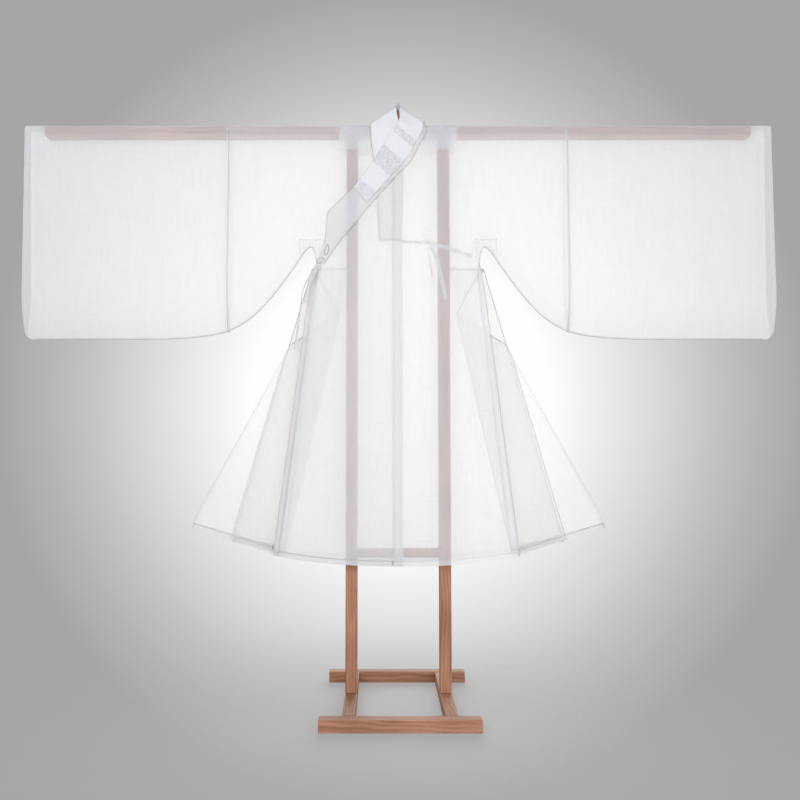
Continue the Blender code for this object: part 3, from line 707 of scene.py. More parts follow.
def creased(x, z, side):
    """How far the creases and crumples lift a place out of the smooth robe, on its front or its back."""
    total = np.zeros(np.broadcast(x, z).shape)
    for which, x0, z0, x1, z1, width, rise, bow in CREASES:
        dx, dz = x1 - x0, z1 - z0
        length = math.hypot(dx, dz)
        run = ((x - x0) * dx + (z - z0) * dz) / length**2
        off = ((x - x0) * dz - (z - z0) * dx) / length - bow * 4 * run * (1 - run)
        wide = width * (0.75 + 0.5 * np.clip(run, 0, 1))
        fade = ease((run + 0.02) / 0.25) * ease((1.06 - run) / 0.25)
        hump = rise * np.exp(-((off / wide) ** 2)) * fade
        total += hump if which == 0 else np.where(side == which, hump, 0.0)
    for across, up, phase, rise in CRUMPLES:
        wave = across * x + up * z + side * phase
        total += rise * np.sin(2 * math.pi * wave + phase + 1.3 * np.sin(2 * math.pi * wave * 0.31))
    total *= ease((HANG_Z - 0.004 - z) / 0.07) * ease(seam_distance(x, z) / 0.05)
    below = HANG_Z - z
    for at_rail, under, width, rise in SHOULDER_FOLDS:
        middle = at_rail + (under - at_rail) * below / 0.03
        one_fold = rise * np.exp(-(((x - middle) / width) ** 2))
        total += one_fold * ease(below / 0.006) * ease((0.045 - below) / 0.02)
    return np.maximum(total, 0.0012 - 0.85 * half_depth(x, z)) if np.ndim(total) else float(total)


def hang(x, t, lift=0.0):
    """The places in space of pattern points, with lift out of the robe's own surface."""
    x, t = np.asarray(x, float), np.asarray(t, float)
    run, side = np.abs(t), np.where(t < 0, -1.0, 1.0)
    z = HANG_Z - np.maximum(run - HANG_T, 0.0)
    lift = lift + creased(x, z, side)
    angle = np.clip((run - FLAT) / FOLD_RADIUS, 0.0, math.pi / 2)
    reach = FOLD_RADIUS + lift
    on_rail = run <= HANG_T
    y = np.where(on_rail, np.minimum(run, FLAT) + reach * np.sin(angle), half_depth(x, z) + lift)
    return np.stack([x, side * y, np.where(on_rail, HANG_Z + reach * np.cos(angle), z)], -1)


def overlap_lift(x, t):
    """The lift of the left half's front over what lies under it: none at the shoulder and the seams."""
    z = HANG_Z + HANG_T + t
    lifted = OVERLAP * ease((HANG_Z - z) / LIFT_RUN) * ease(seam_distance(x, z) / LIFT_FADE)
    return np.where(t > -HANG_T, 0.0, lifted)


def on_front(x, z, lift):
    """Points on the robe's front at places across and heights."""
    x, z = np.asarray(x, float), np.asarray(z, float)
    return np.stack([x, -half_depth(x, z) - lift - creased(x, z, -1.0), z], -1)


def body_left_surface(x, t, lift=0.0):
    return hang(x, t, overlap_lift(x, t) + lift)


def panel_surface(x, t, lift=0.0):
    return hang(x, t, OVERLAP + lift)


def resampled(line, pitch):
    """The points of a line, with more between them so that none are further apart than the pitch."""
    line = np.asarray(line, float)
    points = [line[0]]
    for a, b in zip(line, line[1:]):
        count = max(1, math.ceil(np.linalg.norm(b - a) / pitch - 1e-6))
        points += [a + (b - a) * k / count for k in range(1, count + 1)]
    return np.array(points)


def moved_in(line, width):
    """A line moved to its left by a width, with even spacing at its corners."""
    ahead = np.gradient(line, axis=0)
    ahead /= np.linalg.norm(ahead, axis=1)[:, None]
    return line + np.stack([-ahead[:, 1], ahead[:, 0]], -1) * width


def inside(points, outline, margin):
    """Which points lie inside an outline and further than a margin from it."""
    x, t = points[:, 0], points[:, 1]
    within = np.zeros(len(points), bool)
    nearest = np.full(len(points), np.inf)
    for (ax, at), (bx, bt) in zip(outline, np.roll(outline, -1, axis=0)):
        crossing = (at > t) != (bt > t)
        if at != bt:
            within ^= crossing & (x < (bx - ax) * (t - at) / (bt - at) + ax)
        dx, dt = bx - ax, bt - at
        share = np.clip(((x - ax) * dx + (t - at) * dt) / max(dx * dx + dt * dt, 1e-12), 0.0, 1.0)
        nearest = np.minimum(nearest, np.hypot(x - ax - share * dx, t - at - share * dt))
    return within & (nearest > margin)


def flat_area(outline):
    x, t = np.asarray(outline, float).T
    return abs(float(np.dot(x, np.roll(t, -1)) - np.dot(t, np.roll(x, -1)))) / 2


def add_mesh(name, points, faces, finish, node=None):
    """A new piece that rides on the part, in one material, in place of a CAD node if one is named."""
    mesh = bpy.data.meshes.new(name)
    mesh.from_pydata([tuple(p) for p in points], [], [tuple(f) for f in faces])
    mesh.update()
    mesh.shade_smooth()
    mesh.materials.append(finish)
    obj = bpy.data.objects.new(name, mesh)
    bpy.context.scene.collection.objects.link(obj)
    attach(obj, "root")
    if node:
        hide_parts(node)
    return obj


def cut_sheet(name, outline, surface, pitch, finish, node=None):
    """A panel cut flat to its outline, filled with fine triangles and hung in its place."""
    outline = resampled([*outline, outline[0]], pitch)[:-1]
    low, high = outline.min(0), outline.max(0)
    turned = [0.0, FLAT / 2, FLAT, FLAT + ARC / 3, FLAT + ARC * 2 / 3, HANG_T]
    runs = [*turned, *np.arange(HANG_T + pitch * 0.7, max(abs(low[1]), abs(high[1])), pitch)]
    rows = sorted({*runs, *[-t for t in runs]})
    rows = [t for t in rows if low[1] < t < high[1]]
    across = np.arange(low[0] + pitch / 2, high[0], pitch)
    grid = np.array([(x + (pitch / 2 if k % 2 else 0.0), t) for k, t in enumerate(rows) for x in across])
    grid = grid[inside(grid, outline, pitch * 0.35)]
    points = [*map(tuple, outline), *map(tuple, grid)]
    count = len(outline)
    edges = [(k, (k + 1) % count) for k in range(count)]
    flat, _, faces, *_ = delaunay_2d_cdt([Vector(p) for p in points], edges, [], 1, 1e-7)
    flat = np.array([tuple(p) for p in flat])
    return add_mesh(name, surface(flat[:, 0], flat[:, 1]), faces, finish, node)


def grid_faces(rows, columns, start=0):
    faces = []
    for r in range(rows - 1):
        for c in range(columns - 1):
            a = start + r * columns + c
            faces.append((a, a + 1, a + columns + 1, a + columns))
    return faces


def strips(name, parts, finish):
    """Narrow bands of cloth along lines of a panel, as one piece. Each part is a surface, a line, the
    distances from the line at which the band starts and ends, and its lift."""
    points, faces = [], []
    for surface, line, start, stop, lift in parts:
        line = resampled(line, 0.010)
        columns = 4
        grid = np.stack([moved_in(line, start + (stop - start) * k / (columns - 1))
            for k in range(columns)], 1)
        faces += grid_faces(len(line), columns, len(points))
        points += list(surface(grid[..., 0].ravel(), grid[..., 1].ravel(), lift))
    return add_mesh(name, points, faces, finish)


def path_on(surface, line, inset, lift):
    """The points of a line on a surface, the directions out of the surface there, and those along it."""
    line = resampled(line, 0.010)
    line = moved_in(line, inset) if inset else line
    points = surface(line[:, 0], line[:, 1], np.full(len(line), lift))
    out = surface(line[:, 0], line[:, 1], np.full(len(line), lift + 0.001)) - points
    out /= np.maximum(np.linalg.norm(out, axis=1), 1e-9)[:, None]
    ahead = np.gradient(points, axis=0)
    ahead /= np.maximum(np.linalg.norm(ahead, axis=1), 1e-9)[:, None]
    return points, out, ahead


def ridges(name, parts, width, finish):
    """Rolled seam ridges along lines of a panel: small half-round cords, as one piece. Each part is a
    surface, a line, its inset and its lift."""
    points, faces = [], []
    profile = ((-0.5, 0.0), (-0.32, 0.26), (0.0, 0.36), (0.32, 0.26), (0.5, 0.0), (0.0, -0.2), (-0.5, 0.0))
    for surface, line, inset, lift in parts:
        path, out, ahead = path_on(surface, line, inset, lift)
        side = np.cross(ahead, out)
        grid = np.stack([path + side * a * width + out * b * width for a, b in profile], 1)
        faces += grid_faces(len(path), len(profile), len(points))
        points += list(grid.reshape(-1, 3))
    return add_mesh(name, points, faces, finish)


def stitches(name, parts, settings, finish):
    """Running stitches along lines of a panel, as one piece. Each part is a surface, a line, its inset
    and its lift."""
    points, faces = [], []
    ring = ((-0.5, 0.0), (0.0, 0.75), (0.5, 0.0))
    for surface, line, inset, lift in parts:
        path, out, ahead = path_on(surface, line, inset, lift)
        run = np.concatenate([[0.0], np.cumsum(np.linalg.norm(np.diff(path, axis=0), axis=1))])
        starts = np.arange(settings.stitch_pitch, run[-1] - settings.stitch_pitch, settings.stitch_pitch)
        spots = np.stack([starts, starts + settings.stitch_length], 1)
        at = np.stack([np.interp(spots, run, path[:, k]) for k in range(3)], -1)
        up = np.stack([np.interp(spots, run, out[:, k]) for k in range(3)], -1)
        side = np.cross(np.stack([np.interp(spots, run, ahead[:, k]) for k in range(3)], -1), up)
        for k in range(len(starts)):
            first = len(points)
            for end in range(2):
                for a, b in ring:
                    points.append(at[k, end] + (side[k, end] * a + up[k, end] * b) * settings.stitch_width)
            faces += [(first + 0, first + 1, first + 4, first + 3),
                (first + 1, first + 2, first + 5, first + 4)]
            faces += [(first + 2, first + 0, first + 3, first + 5), (first + 2, first + 1, first)]
            faces.append((first + 3, first + 4, first + 5))
    return add_mesh(name, points, faces, finish)


def outer_neckline():
    """The front neckline of the outer layer, just under the collar's seam edge, from the neck to the tie."""
    (seam_x, seam_y, top_z), (free_x, free_y, free_z) = NECK_COLLAR[-1]
    rows = [(seam_x, top_z, free_x, free_z), *OUTER_COLLAR]
    return [(sx + (fx - sx) * UNDER_COLLAR, sz + (fz - sz) * UNDER_COLLAR) for sx, sz, fx, fz in rows]


def height_at(line, x):
    """The height of a line of (across, height) rows at a place across, on a line that runs towards -X."""
    for (x0, z0), (x1, z1) in zip(line, line[1:]):
        if x1 <= x <= x0:
            return z0 + (z1 - z0) * (x - x0) / (x1 - x0)
    raise ValueError("the line doesn't reach there")


def hem_line(inner_x, side):
    """The hem from a side's corner in to a place across: across, height."""
    corner = side_x(side, hem_z(side_x(side, HEM_MIDDLE)))
    return [(x, float(hem_z(x))) for x in np.linspace(corner, inner_x, 24)]


def side_line(side, top):
    """A side edge from its top down to the hem: across, height."""
    corner, low = hem_line(0.0, side)[0]
    return [(side_x(side, top), top), (corner, low)]


def body_edge(inner_x):
    """One side of a body half, from the sleeve seam under the arm and along the hem: across, height."""
    return [*map(tuple, UNDERARM_LINE), *hem_line(inner_x, BODY_SIDE)]


def placed(line, front, sign=1):
    """Heights turned into pattern runs, in front or behind, on one side of the robe."""
    return [(sign * x, -drop(z) if front else drop(z)) for x, z in line]


def back_outline(sign):
    """The back of a body half, from the sleeve seam's bottom to the neck: pattern points."""
    inner = GAP / 2
    neck = [(sign * x, t) for x, t in ((inner, BACK_NECK[0][1]), *BACK_NECK[1:])]
    return [*placed(body_edge(inner), False, sign), *neck]


def body_left_outline():
    line = outer_neckline()
    seam = CENTRE_SEAM + GAP / 2
    neck = [(NECK_HALF, -0.012), (NECK_HALF, -drop(NECK_FRONT))]
    neck += [(x, -drop(z)) for x, z in line if x > seam] + [(seam, -drop(height_at(line, seam)))]
    front = placed(body_edge(seam), True)
    return [*back_outline(1), *neck, *reversed(front)]


def body_right_outline():
    line = [(seam[0] + UNDER_INNER_COLLAR, seam[2]) for seam, free in INNER_NECK]
    line += [(sx + UNDER_INNER_COLLAR, sz) for sx, sz, fx, fz in INNER_COLLAR]
    foot = line[-1][1] + UNDER_INNER_COLLAR
    line[-1] = (line[-1][0], foot)
    neck = [(-NECK_HALF, -0.012), *[(x, -drop(z)) for x, z in line], (INNER_EDGE, -drop(foot))]
    front = [(-x, -drop(z)) for x, z in body_edge(-INNER_EDGE)]
    return [*back_outline(-1), *neck, *reversed(front)]


def panel_outline():
    line = outer_neckline()
    seam = CENTRE_SEAM - GAP / 2
    top = [(seam, height_at(line, seam)), *[(x, z) for x, z in line if x < seam]]
    top += [(-0.236, 1.2805), (-0.248, 1.2765)]
    free = [(-side_x(PANEL_SIDE, z), z) for z in (PANEL_SIDE[0] - 0.006, 0.9)]
    hem = [(-x, z) for x, z in hem_line(-seam, PANEL_SIDE)]
    return [(x, -drop(z)) for x, z in [*top, *free, *hem]]


def sleeve_outline(sign):
    cuff, radius = SPAN / 2, CUFF_CORNER
    bottom = [(SLEEVE_SEAM + GAP, SLEEVE_RUN[0][1]), *SLEEVE_RUN[1:]]
    for k in range(7):
        angle = math.radians(90 * k / 6)
        x = cuff - radius + radius * math.sin(angle)
        bottom.append((x, SLEEVE_BOTTOM + radius - radius * math.cos(angle)))
    rounding = ((0.0, drop(1.684)), (0.0015, HANG_T), (0.0035, FLAT), (0.006, 0.0))
    slant = CUFF_SLANT[0] if sign > 0 else CUFF_SLANT[1]
    bottom = [(x - slant * float(ease((x - 0.75) / 0.35)), z) for x, z in bottom]
    half = [*[(x, drop(z)) for x, z in bottom], *[(cuff - inset, t) for inset, t in rounding]]
    outline = [*half, *[(x, -t) for x, t in reversed(half[:-1])]]
    return [(sign * x, t) for x, t in outline]


def collar_rows():
    """The collar's rows of points, inner end to tie, each from the seam edge to the free edge."""
    neck = [tuple(map(np.array, row)) for row in NECK_COLLAR]
    mirror = np.array([-1.0, 1.0, 1.0])
    mirrored = [(s * mirror, f * mirror) for s, f in neck[1:-2]]
    inner_neck = [tuple(map(np.array, row)) for row in INNER_NECK]
    inner = [(on_front(sx, sz, LAYER), on_front(fx, fz, LAYER)) for sx, sz, fx, fz in INNER_COLLAR]
    lift = OVERLAP + COLLAR_LIFT
    outer = [(on_front(sx, sz, lift), on_front(fx, fz, lift)) for sx, sz, fx, fz in OUTER_COLLAR]
    stations = [*reversed(inner), *reversed(inner_neck), *reversed(mirrored), *neck, *outer]
    middle = len(inner) + len(inner_neck) + len(mirrored)
    rows = []
    for k, (s, f) in enumerate(stations):
        row = [s + (f - s) * share for share in COLLAR_COLUMNS]
        chest = [on_front(p[0], p[2], LAYER if k < middle else lift) for p in row]
        rows.append([low if p[2] < CHEST_TOP else p for p, low in zip(row, chest)])
    return np.array(rows), middle


def dense_collar(steps, columns):
    """The collar's surface in fine rows and columns, laid on the chest below its top with the inner or the
    outer part's lift.
    """
    rows, middle = collar_rows()
    fine = smooth_line(rows, steps)
    spots = np.interp(np.linspace(0.0, 1.0, columns), COLLAR_COLUMNS, np.arange(len(COLLAR_COLUMNS)))
    low = np.minimum(spots.astype(int), len(COLLAR_COLUMNS) - 2)
    part = (spots - low)[None, :, None]
    fine = fine[:, low] * (1 - part) + fine[:, low + 1] * part
    lift = np.where(np.arange(len(fine)) < middle * steps, LAYER, OVERLAP + COLLAR_LIFT)
    chest = on_front(fine[..., 0], fine[..., 2], lift[:, None])
    blend = ease((CHEST_TOP - 0.004 - fine[..., 2]) / 0.03)[..., None]
    return fine * (1 - blend) + chest * blend


def normals(grid):
    """The normals of a grid of points, out of the robe."""
    run = np.gradient(grid, axis=0)
    width = np.gradient(grid, axis=1)
    out = np.cross(width, run)
    return out / np.maximum(np.linalg.norm(out, axis=-1, keepdims=True), 1e-9)


def fold_point(line, z, depth, shift, sign):
    """A point of a gore's fold line: its depth is a share of the robe's own depth, then shifted back."""
    x = along(line, z)
    return np.array([sign * x, depth * (half_depth(x, z) - LAYER) + shift, z])


def seam_point(z, front, sign):
    """A point where a gore is sewn inside the front or back edge of the body."""
    x = side_x(BODY_SIDE, z) - GORE_TUCK
    y = half_depth(x, z) - GORE_CLEAR
    return np.array([sign * x, -y if front else y, z])


def gore_grid(columns, rows, steps):
    """The points of a folded gore through columns, each a top height and a function of height."""
    grid = []
    for r in range(rows + 1):
        share = r / rows
        row = []
        for top, place in columns:
            low = float(hem_z(place(0.45)[0]))
            row.append(place(top + (low - top) * share**GORE_ROWS_POWER))
        full = [row[0]]
        for a, b in zip(row, row[1:]):
            wide = np.linalg.norm(b - a)
            count = steps if wide > 4 * FOLD_WIDTH else 2
            for k in range(1, count + 1):
                u = k / count
                bow = LEAF_BOW * share * 4 * u * (1 - u) * 0.9 if count > 2 else 0.0
                ripple = 0.0012 * share * math.sin(math.pi * u) * math.sin(9.0 * u + 7.0 * share + wide * 40)
                full.append(a + (b - a) * u + np.array([0.0, bow + ripple, 0.0]))
        grid.append(full)
    return np.array(grid)


def gore_columns(which, sign):
    edge = FOLD_WIDTH / 2

    def on_fold(line, depth, shift):
        return lambda z: fold_point(line, z, depth, shift, sign)

    if which == "front":
        return [
            (GORE_TOPS["front_seam"], lambda z: seam_point(z, True, sign)),
            (GORE_TOPS["outer_fold"], on_fold(OUTER_FOLD, OUTER_FOLD_DEPTH, -edge)),
            (GORE_TOPS["outer_fold"], on_fold(OUTER_FOLD, OUTER_FOLD_DEPTH, edge)),
            (GORE_TOPS["inner_fold"], on_fold(INNER_FOLD, INNER_FOLD_DEPTH, 0.0)),
        ]
    return [
        (GORE_TOPS["back"], on_fold(INNER_FOLD, INNER_FOLD_DEPTH, LAYER)),
        (GORE_TOPS["back"], on_fold(MIDDLE_FOLD, MIDDLE_FOLD_DEPTH, -edge)),
        (GORE_TOPS["back"], on_fold(MIDDLE_FOLD, MIDDLE_FOLD_DEPTH, edge)),
        (GORE_TOPS["back"], lambda z: seam_point(z, False, sign)),
    ]


def ribbon_grid(table, width, steps=8, columns=5):
    """A flat ribbon along a table of across, distance behind the front, height and turn in degrees."""
    table = np.array(table)
    route = smooth_line(on_front(table[:, 0], table[:, 2], -table[:, 1]), steps)
    turns = np.radians(smooth_line(table[:, 3:], steps)[:, 0])
    ahead = np.gradient(route, axis=0)
    flat = np.stack([ahead[:, 2], np.zeros(len(ahead)), -ahead[:, 0]], -1)
    flat /= np.linalg.norm(flat, axis=1)[:, None]
    edge = flat * np.cos(turns)[:, None] + np.array([0.0, 1.0, 0.0]) * np.sin(turns)[:, None]
    out = np.cross(edge, ahead / np.linalg.norm(ahead, axis=1)[:, None])
    grid = []
    for c in range(columns):
        u = c / (columns - 1) - 0.5
        curl = 0.0008 * (1 - 4 * u * u)
        grid.append(route + edge * width * u + out * curl)
    return np.stack(grid, 1)


def finish_of(name):
    """A material made before, by name."""
    return bpy.data.materials[name]


def read_settings(context):
    return context.scene.robe_settings


class ROBE_OT_materials(bpy.types.Operator):
    """Make the silk, thread, guard and timber"""

    bl_idname = "robe.materials"
    bl_label = "Materials"

    def execute(self, context):
        settings = read_settings(context)
        for name, cover, turn, tint in (
            ("silk_gauze", 0.0, 0.0, (1.0, 1.0, 1.0)),
            ("silk_sleeve", -0.06, 0.0, (1.0, 1.0, 1.0)),
            ("silk_panel", -0.20, 0.0, (1.0, 1.0, 1.0)),
            ("silk_gore", -0.22, 8.0, (0.98, 0.968, 0.955)),
            ("silk_patch", -0.32, 0.0, (1.0, 1.0, 1.0)),
            ("silk_facing", 0.02, 0.0, (1.0, 1.0, 1.0)),
            ("silk_collar", 0.07, -48.0, (0.965, 0.945, 0.93)),
            ("silk_turning", -0.20, 0.0, (0.97, 0.95, 0.94)),
            ("silk_edge", 0.06, 0.0, (0.95, 0.90, 0.885)),
            # The seam ridges' darker tints are painted shade of the folded seams, on top of their denser cloth
            ("silk_seam_painted_shade", 0.36, 0.0, (0.80, 0.765, 0.75)),
            ("silk_rolled_painted_shade", 0.40, 0.0, (0.60, 0.56, 0.54)),
            # The ribbons' darker tint is painted shade on the ties, on top of their denser cloth
            ("silk_ribbon_painted_shade", 0.30, 0.0, (0.86, 0.845, 0.835)),
        ):
            gauze_material(name, settings, settings.cover + cover, turn, tint)
        thread_material("thread", settings.thread)
        thread_material("thread_dark", [c * 0.45 for c in settings.thread])
        guard_material(settings)
        for axis in "xyz":
            wood_material(f"timber_{axis}", settings, axis)
        floor_material(settings)
        return {"FINISHED"}


class ROBE_OT_stand(bpy.types.Operator):
    """Finish the stand's timber, each bar with its grain along it"""

    bl_idname = "robe.stand"
    bl_label = "Stand"

    def execute(self, context):
        axes = {
            "x": ("stand_front_foot", "stand_rear_foot", "stand_lower_crossbar", "stand_top_rail"),
            "y": ("stand_left_runner", "stand_right_runner"),
            "z": ("stand_left_post", "stand_right_post", "stand_neck_post"),
        }
        for axis, nodes in axes.items():
            for node in nodes:
                for slot in bpy.data.objects[node].material_slots:
                    slot.material = finish_of(f"timber_{axis}")
        return {"FINISHED"}


def sheet_sizes(outline):
    low, high = np.min(outline, 0), np.max(outline, 0)
    return float(high[0] - low[0]), float(high[1] - low[1]), flat_area(outline)


class ROBE_OT_bodies(bpy.types.Operator):
    """Hang the two body halves, with their hems, seams and stitches"""

    bl_idname = "robe.bodies"
    bl_label = "Body halves"

    def execute(self, context):
        s = read_settings(context)
        for side, sign, outline, surface in (
            ("left", 1, body_left_outline(), body_left_surface),
            ("right", -1, body_right_outline(), hang),
        ):
            cloth = cut_sheet(f"body_{side}_cloth", outline, surface, s.mesh_pitch,
                finish_of("silk_gauze"), f"body_{side}")
            inner = GAP / 2
            front_inner = CENTRE_SEAM + inner if sign > 0 else -INNER_EDGE
            hems, seams, rows = [], [], []
            for front, low in ((True, front_inner), (False, inner)):
                turn = -sign if front else sign
                hem = placed(hem_line(low, BODY_SIDE), front, sign)
                edge = placed(side_line(BODY_SIDE, BODY_SIDE[0]), front, sign)
                curve = placed([tuple(p) for p in UNDERARM_LINE], front, sign)
                hems.append((surface, hem, 0.0, turn * s.hem_turning, -0.0004))
                hems.append((surface, edge, 0.0, turn * s.seam_allowance, -0.0004))
                seams.append((surface, curve, turn * s.ridge / 2, 0.0))
                seams.append((surface, edge, turn * s.ridge / 2, 0.0))
                rows.append((surface, hem, turn * (s.hem_turning - 0.0015), 0.0003))
                rows.append((surface, edge, turn * (s.seam_allowance - 0.001), 0.0003))
                rows.append((surface, curve, turn * 0.004, 0.0003))
            top = drop(SLEEVE_RUN[0][1])
            arm = [(sign * (SLEEVE_SEAM - 0.0002), t) for t in np.linspace(-top, top, 60)]
            seams.append((surface, arm, sign * s.ridge / 2, 0.0002))
            hems.append((surface, arm, sign * 0.0005, sign * s.seam_allowance, -0.0005))
            rows.append((surface, arm, sign * 0.0045, 0.0003))
            fine = []
            fine += [(surface, line, inset, 0.0002) for surface, line, inset, lift in rows[::3]]
            back = [(sign * inner, t) for t in np.linspace(BACK_NECK[0][1] + 0.004, drop(HEM_MIDDLE), 60)]
            fine.append((surface, back, -sign * s.ridge / 4, 0.0))
            hems.append((surface, back, 0.0, -sign * 0.012, -0.0004))
            rows.append((surface, back, -sign * 0.005, 0.0003))
            if sign > 0:
                seam = CENTRE_SEAM + inner
                top = height_at(outer_neckline(), seam)
                centre = [(seam, t) for t in np.linspace(-drop(top) - 0.002, -drop(hem_z(seam)), 60)]
                fine.append((surface, centre, s.ridge / 4, 0.0))
                hems.append((surface, centre, 0.0, 0.026, -0.0004))
                rows.append((surface, centre, 0.004, 0.0003))
            else:
                foot = INNER_COLLAR[-1][1] + UNDER_INNER_COLLAR
                edge = [(INNER_EDGE, t)
                    for t in np.linspace(-drop(foot) - 0.002, -drop(hem_z(INNER_EDGE)), 60)]
                hems.append((surface, edge, 0.0, -0.012, 0.0004))
                rows.append((surface, edge, -0.010, 0.0006))
            turned = strips(f"body_{side}_turnings", hems, finish_of("silk_turning"))
            ridge = ridges(f"body_{side}_seams", seams, s.ridge, finish_of("silk_seam_painted_shade"))
            spine = ridges(f"body_{side}_centre_seam", fine, s.ridge * 0.5, finish_of("silk_edge"))
            sewing = stitches(f"body_{side}_stitches", rows, s, finish_of("thread"))
            width, length, area = sheet_sizes(outline)
        return {"FINISHED"}


class ROBE_OT_panel(bpy.types.Operator):
    """Hang the outer front panel, with its turned free edge and hem"""

    bl_idname = "robe.panel"
    bl_label = "Outer front panel"

    def execute(self, context):
        s = read_settings(context)
        outline = panel_outline()
        finish = finish_of("silk_panel")
        cloth = cut_sheet("outer_panel_cloth", outline, panel_surface, s.mesh_pitch,
            finish, "outer_front_panel")
        seam = CENTRE_SEAM - GAP / 2
        hem = placed(hem_line(-seam, PANEL_SIDE), True, -1)
        edge = placed(side_line(PANEL_SIDE, PANEL_SIDE[0] - 0.006), True, -1)
        top = height_at(outer_neckline(), seam)
        centre = [(seam, t) for t in np.linspace(-drop(top) - 0.002, -drop(hem_z(seam)), 60)]
        surface = panel_surface
        turned = strips(
            "outer_panel_turnings",
            [(surface, hem, 0.0, s.hem_turning, -0.0004), (surface, centre, 0.0, -0.004, -0.0004)],
            finish_of("silk_turning"),
        )
        folded = strips(
            "outer_panel_edge", [(surface, edge, 0.0, s.edge_turning, lift) for lift in (-0.0004, -0.0008)],
            finish_of("silk_edge"),
        )
        lines = [(surface, edge, s.ridge / 2, 0.0), (surface, hem, s.hem_turning, -0.0006)]
        ridge = ridges("outer_panel_seams", lines, s.ridge * 0.8, finish_of("silk_seam_painted_shade"))
        spots = ((-0.3590, -drop(0.4545)), (CENTRE_SEAM - 0.003, -drop(HEM_MIDDLE + 0.010)))
        knots = [
            (surface, [(x - 0.0022 * math.cos(a), t - 0.006 * math.sin(a)),
                (x + 0.0022 * math.cos(a), t + 0.006 * math.sin(a))],
             0.0, 0.0006)
            for x, t in spots for a in (0.0, 1.0, 2.1)
        ]
        ends = ridges("outer_panel_thread_ends", knots, 0.0013, finish_of("thread_dark"))
        sewing = stitches(
            "outer_panel_stitches",
            [
                (surface, hem, s.hem_turning - 0.0015, 0.0003),
                (surface, edge, s.edge_turning - 0.0015, 0.0003),
                (surface, centre, -0.003, 0.0003),
            ],
            s,
            finish_of("thread"),
        )
        width, length, area = sheet_sizes(outline)
        return {"FINISHED"}


class ROBE_OT_sleeves(bpy.types.Operator):
    """Hang the two sleeves, folded at the top and closed along the bottom"""

    bl_idname = "robe.sleeves"
    bl_label = "Sleeves"

    def execute(self, context):
        s = read_settings(context)
        for side, sign in (("left", 1), ("right", -1)):
            outline = sleeve_outline(sign)
            finish = finish_of("silk_sleeve")
            cloth = cut_sheet(f"sleeve_{side}_cloth", outline, hang, s.mesh_pitch, finish, f"sleeve_{side}")
            cuff = SPAN / 2 - 0.0002
            slant = CUFF_SLANT[0] if sign > 0 else CUFF_SLANT[1]
            bottom = [(SLEEVE_SEAM + GAP, SLEEVE_RUN[0][1]), *SLEEVE_RUN[1:],
                (cuff - CUFF_CORNER - slant, SLEEVE_BOTTOM)]
            low = drop(SLEEVE_BOTTOM + CUFF_CORNER)
            edge = [(sign * (cuff - slant * max(0.0, (abs(t) - 0.03) / (low - 0.03))), t)
                for t in np.linspace(-low, low, 70)]
            top = drop(SLEEVE_RUN[0][1])
            arm = [(sign * (SLEEVE_SEAM + 0.0005), t) for t in np.linspace(-top, top, 60)]
            hems, seams, rows = [], [], []
            for front in (True, False):
                turn = sign if front else -sign
                line = placed(bottom, front, sign)
                seams.append((hang, line, turn * s.ridge / 2, 0.0))
                rows.append((hang, line, turn * 0.004, 0.0003))
            hems.append((hang, edge, sign * 0.0062, sign * 0.012, -0.0004))
            hems.append((hang, arm, -sign * 0.0005, -sign * s.seam_allowance, -0.0005))
            rows.append((hang, edge, sign * 0.0105, 0.0003))
            rows.append((hang, arm, -sign * 0.0045, 0.0003))
            turned = strips(f"sleeve_{side}_turnings", hems, finish_of("silk_turning"))
            ridge = ridges(f"sleeve_{side}_seams", seams, s.ridge, finish_of("silk_seam_painted_shade"))
            sewing = stitches(f"sleeve_{side}_stitches", rows, s, finish_of("thread"))
            width, length, area = sheet_sizes(outline)
        return {"FINISHED"}


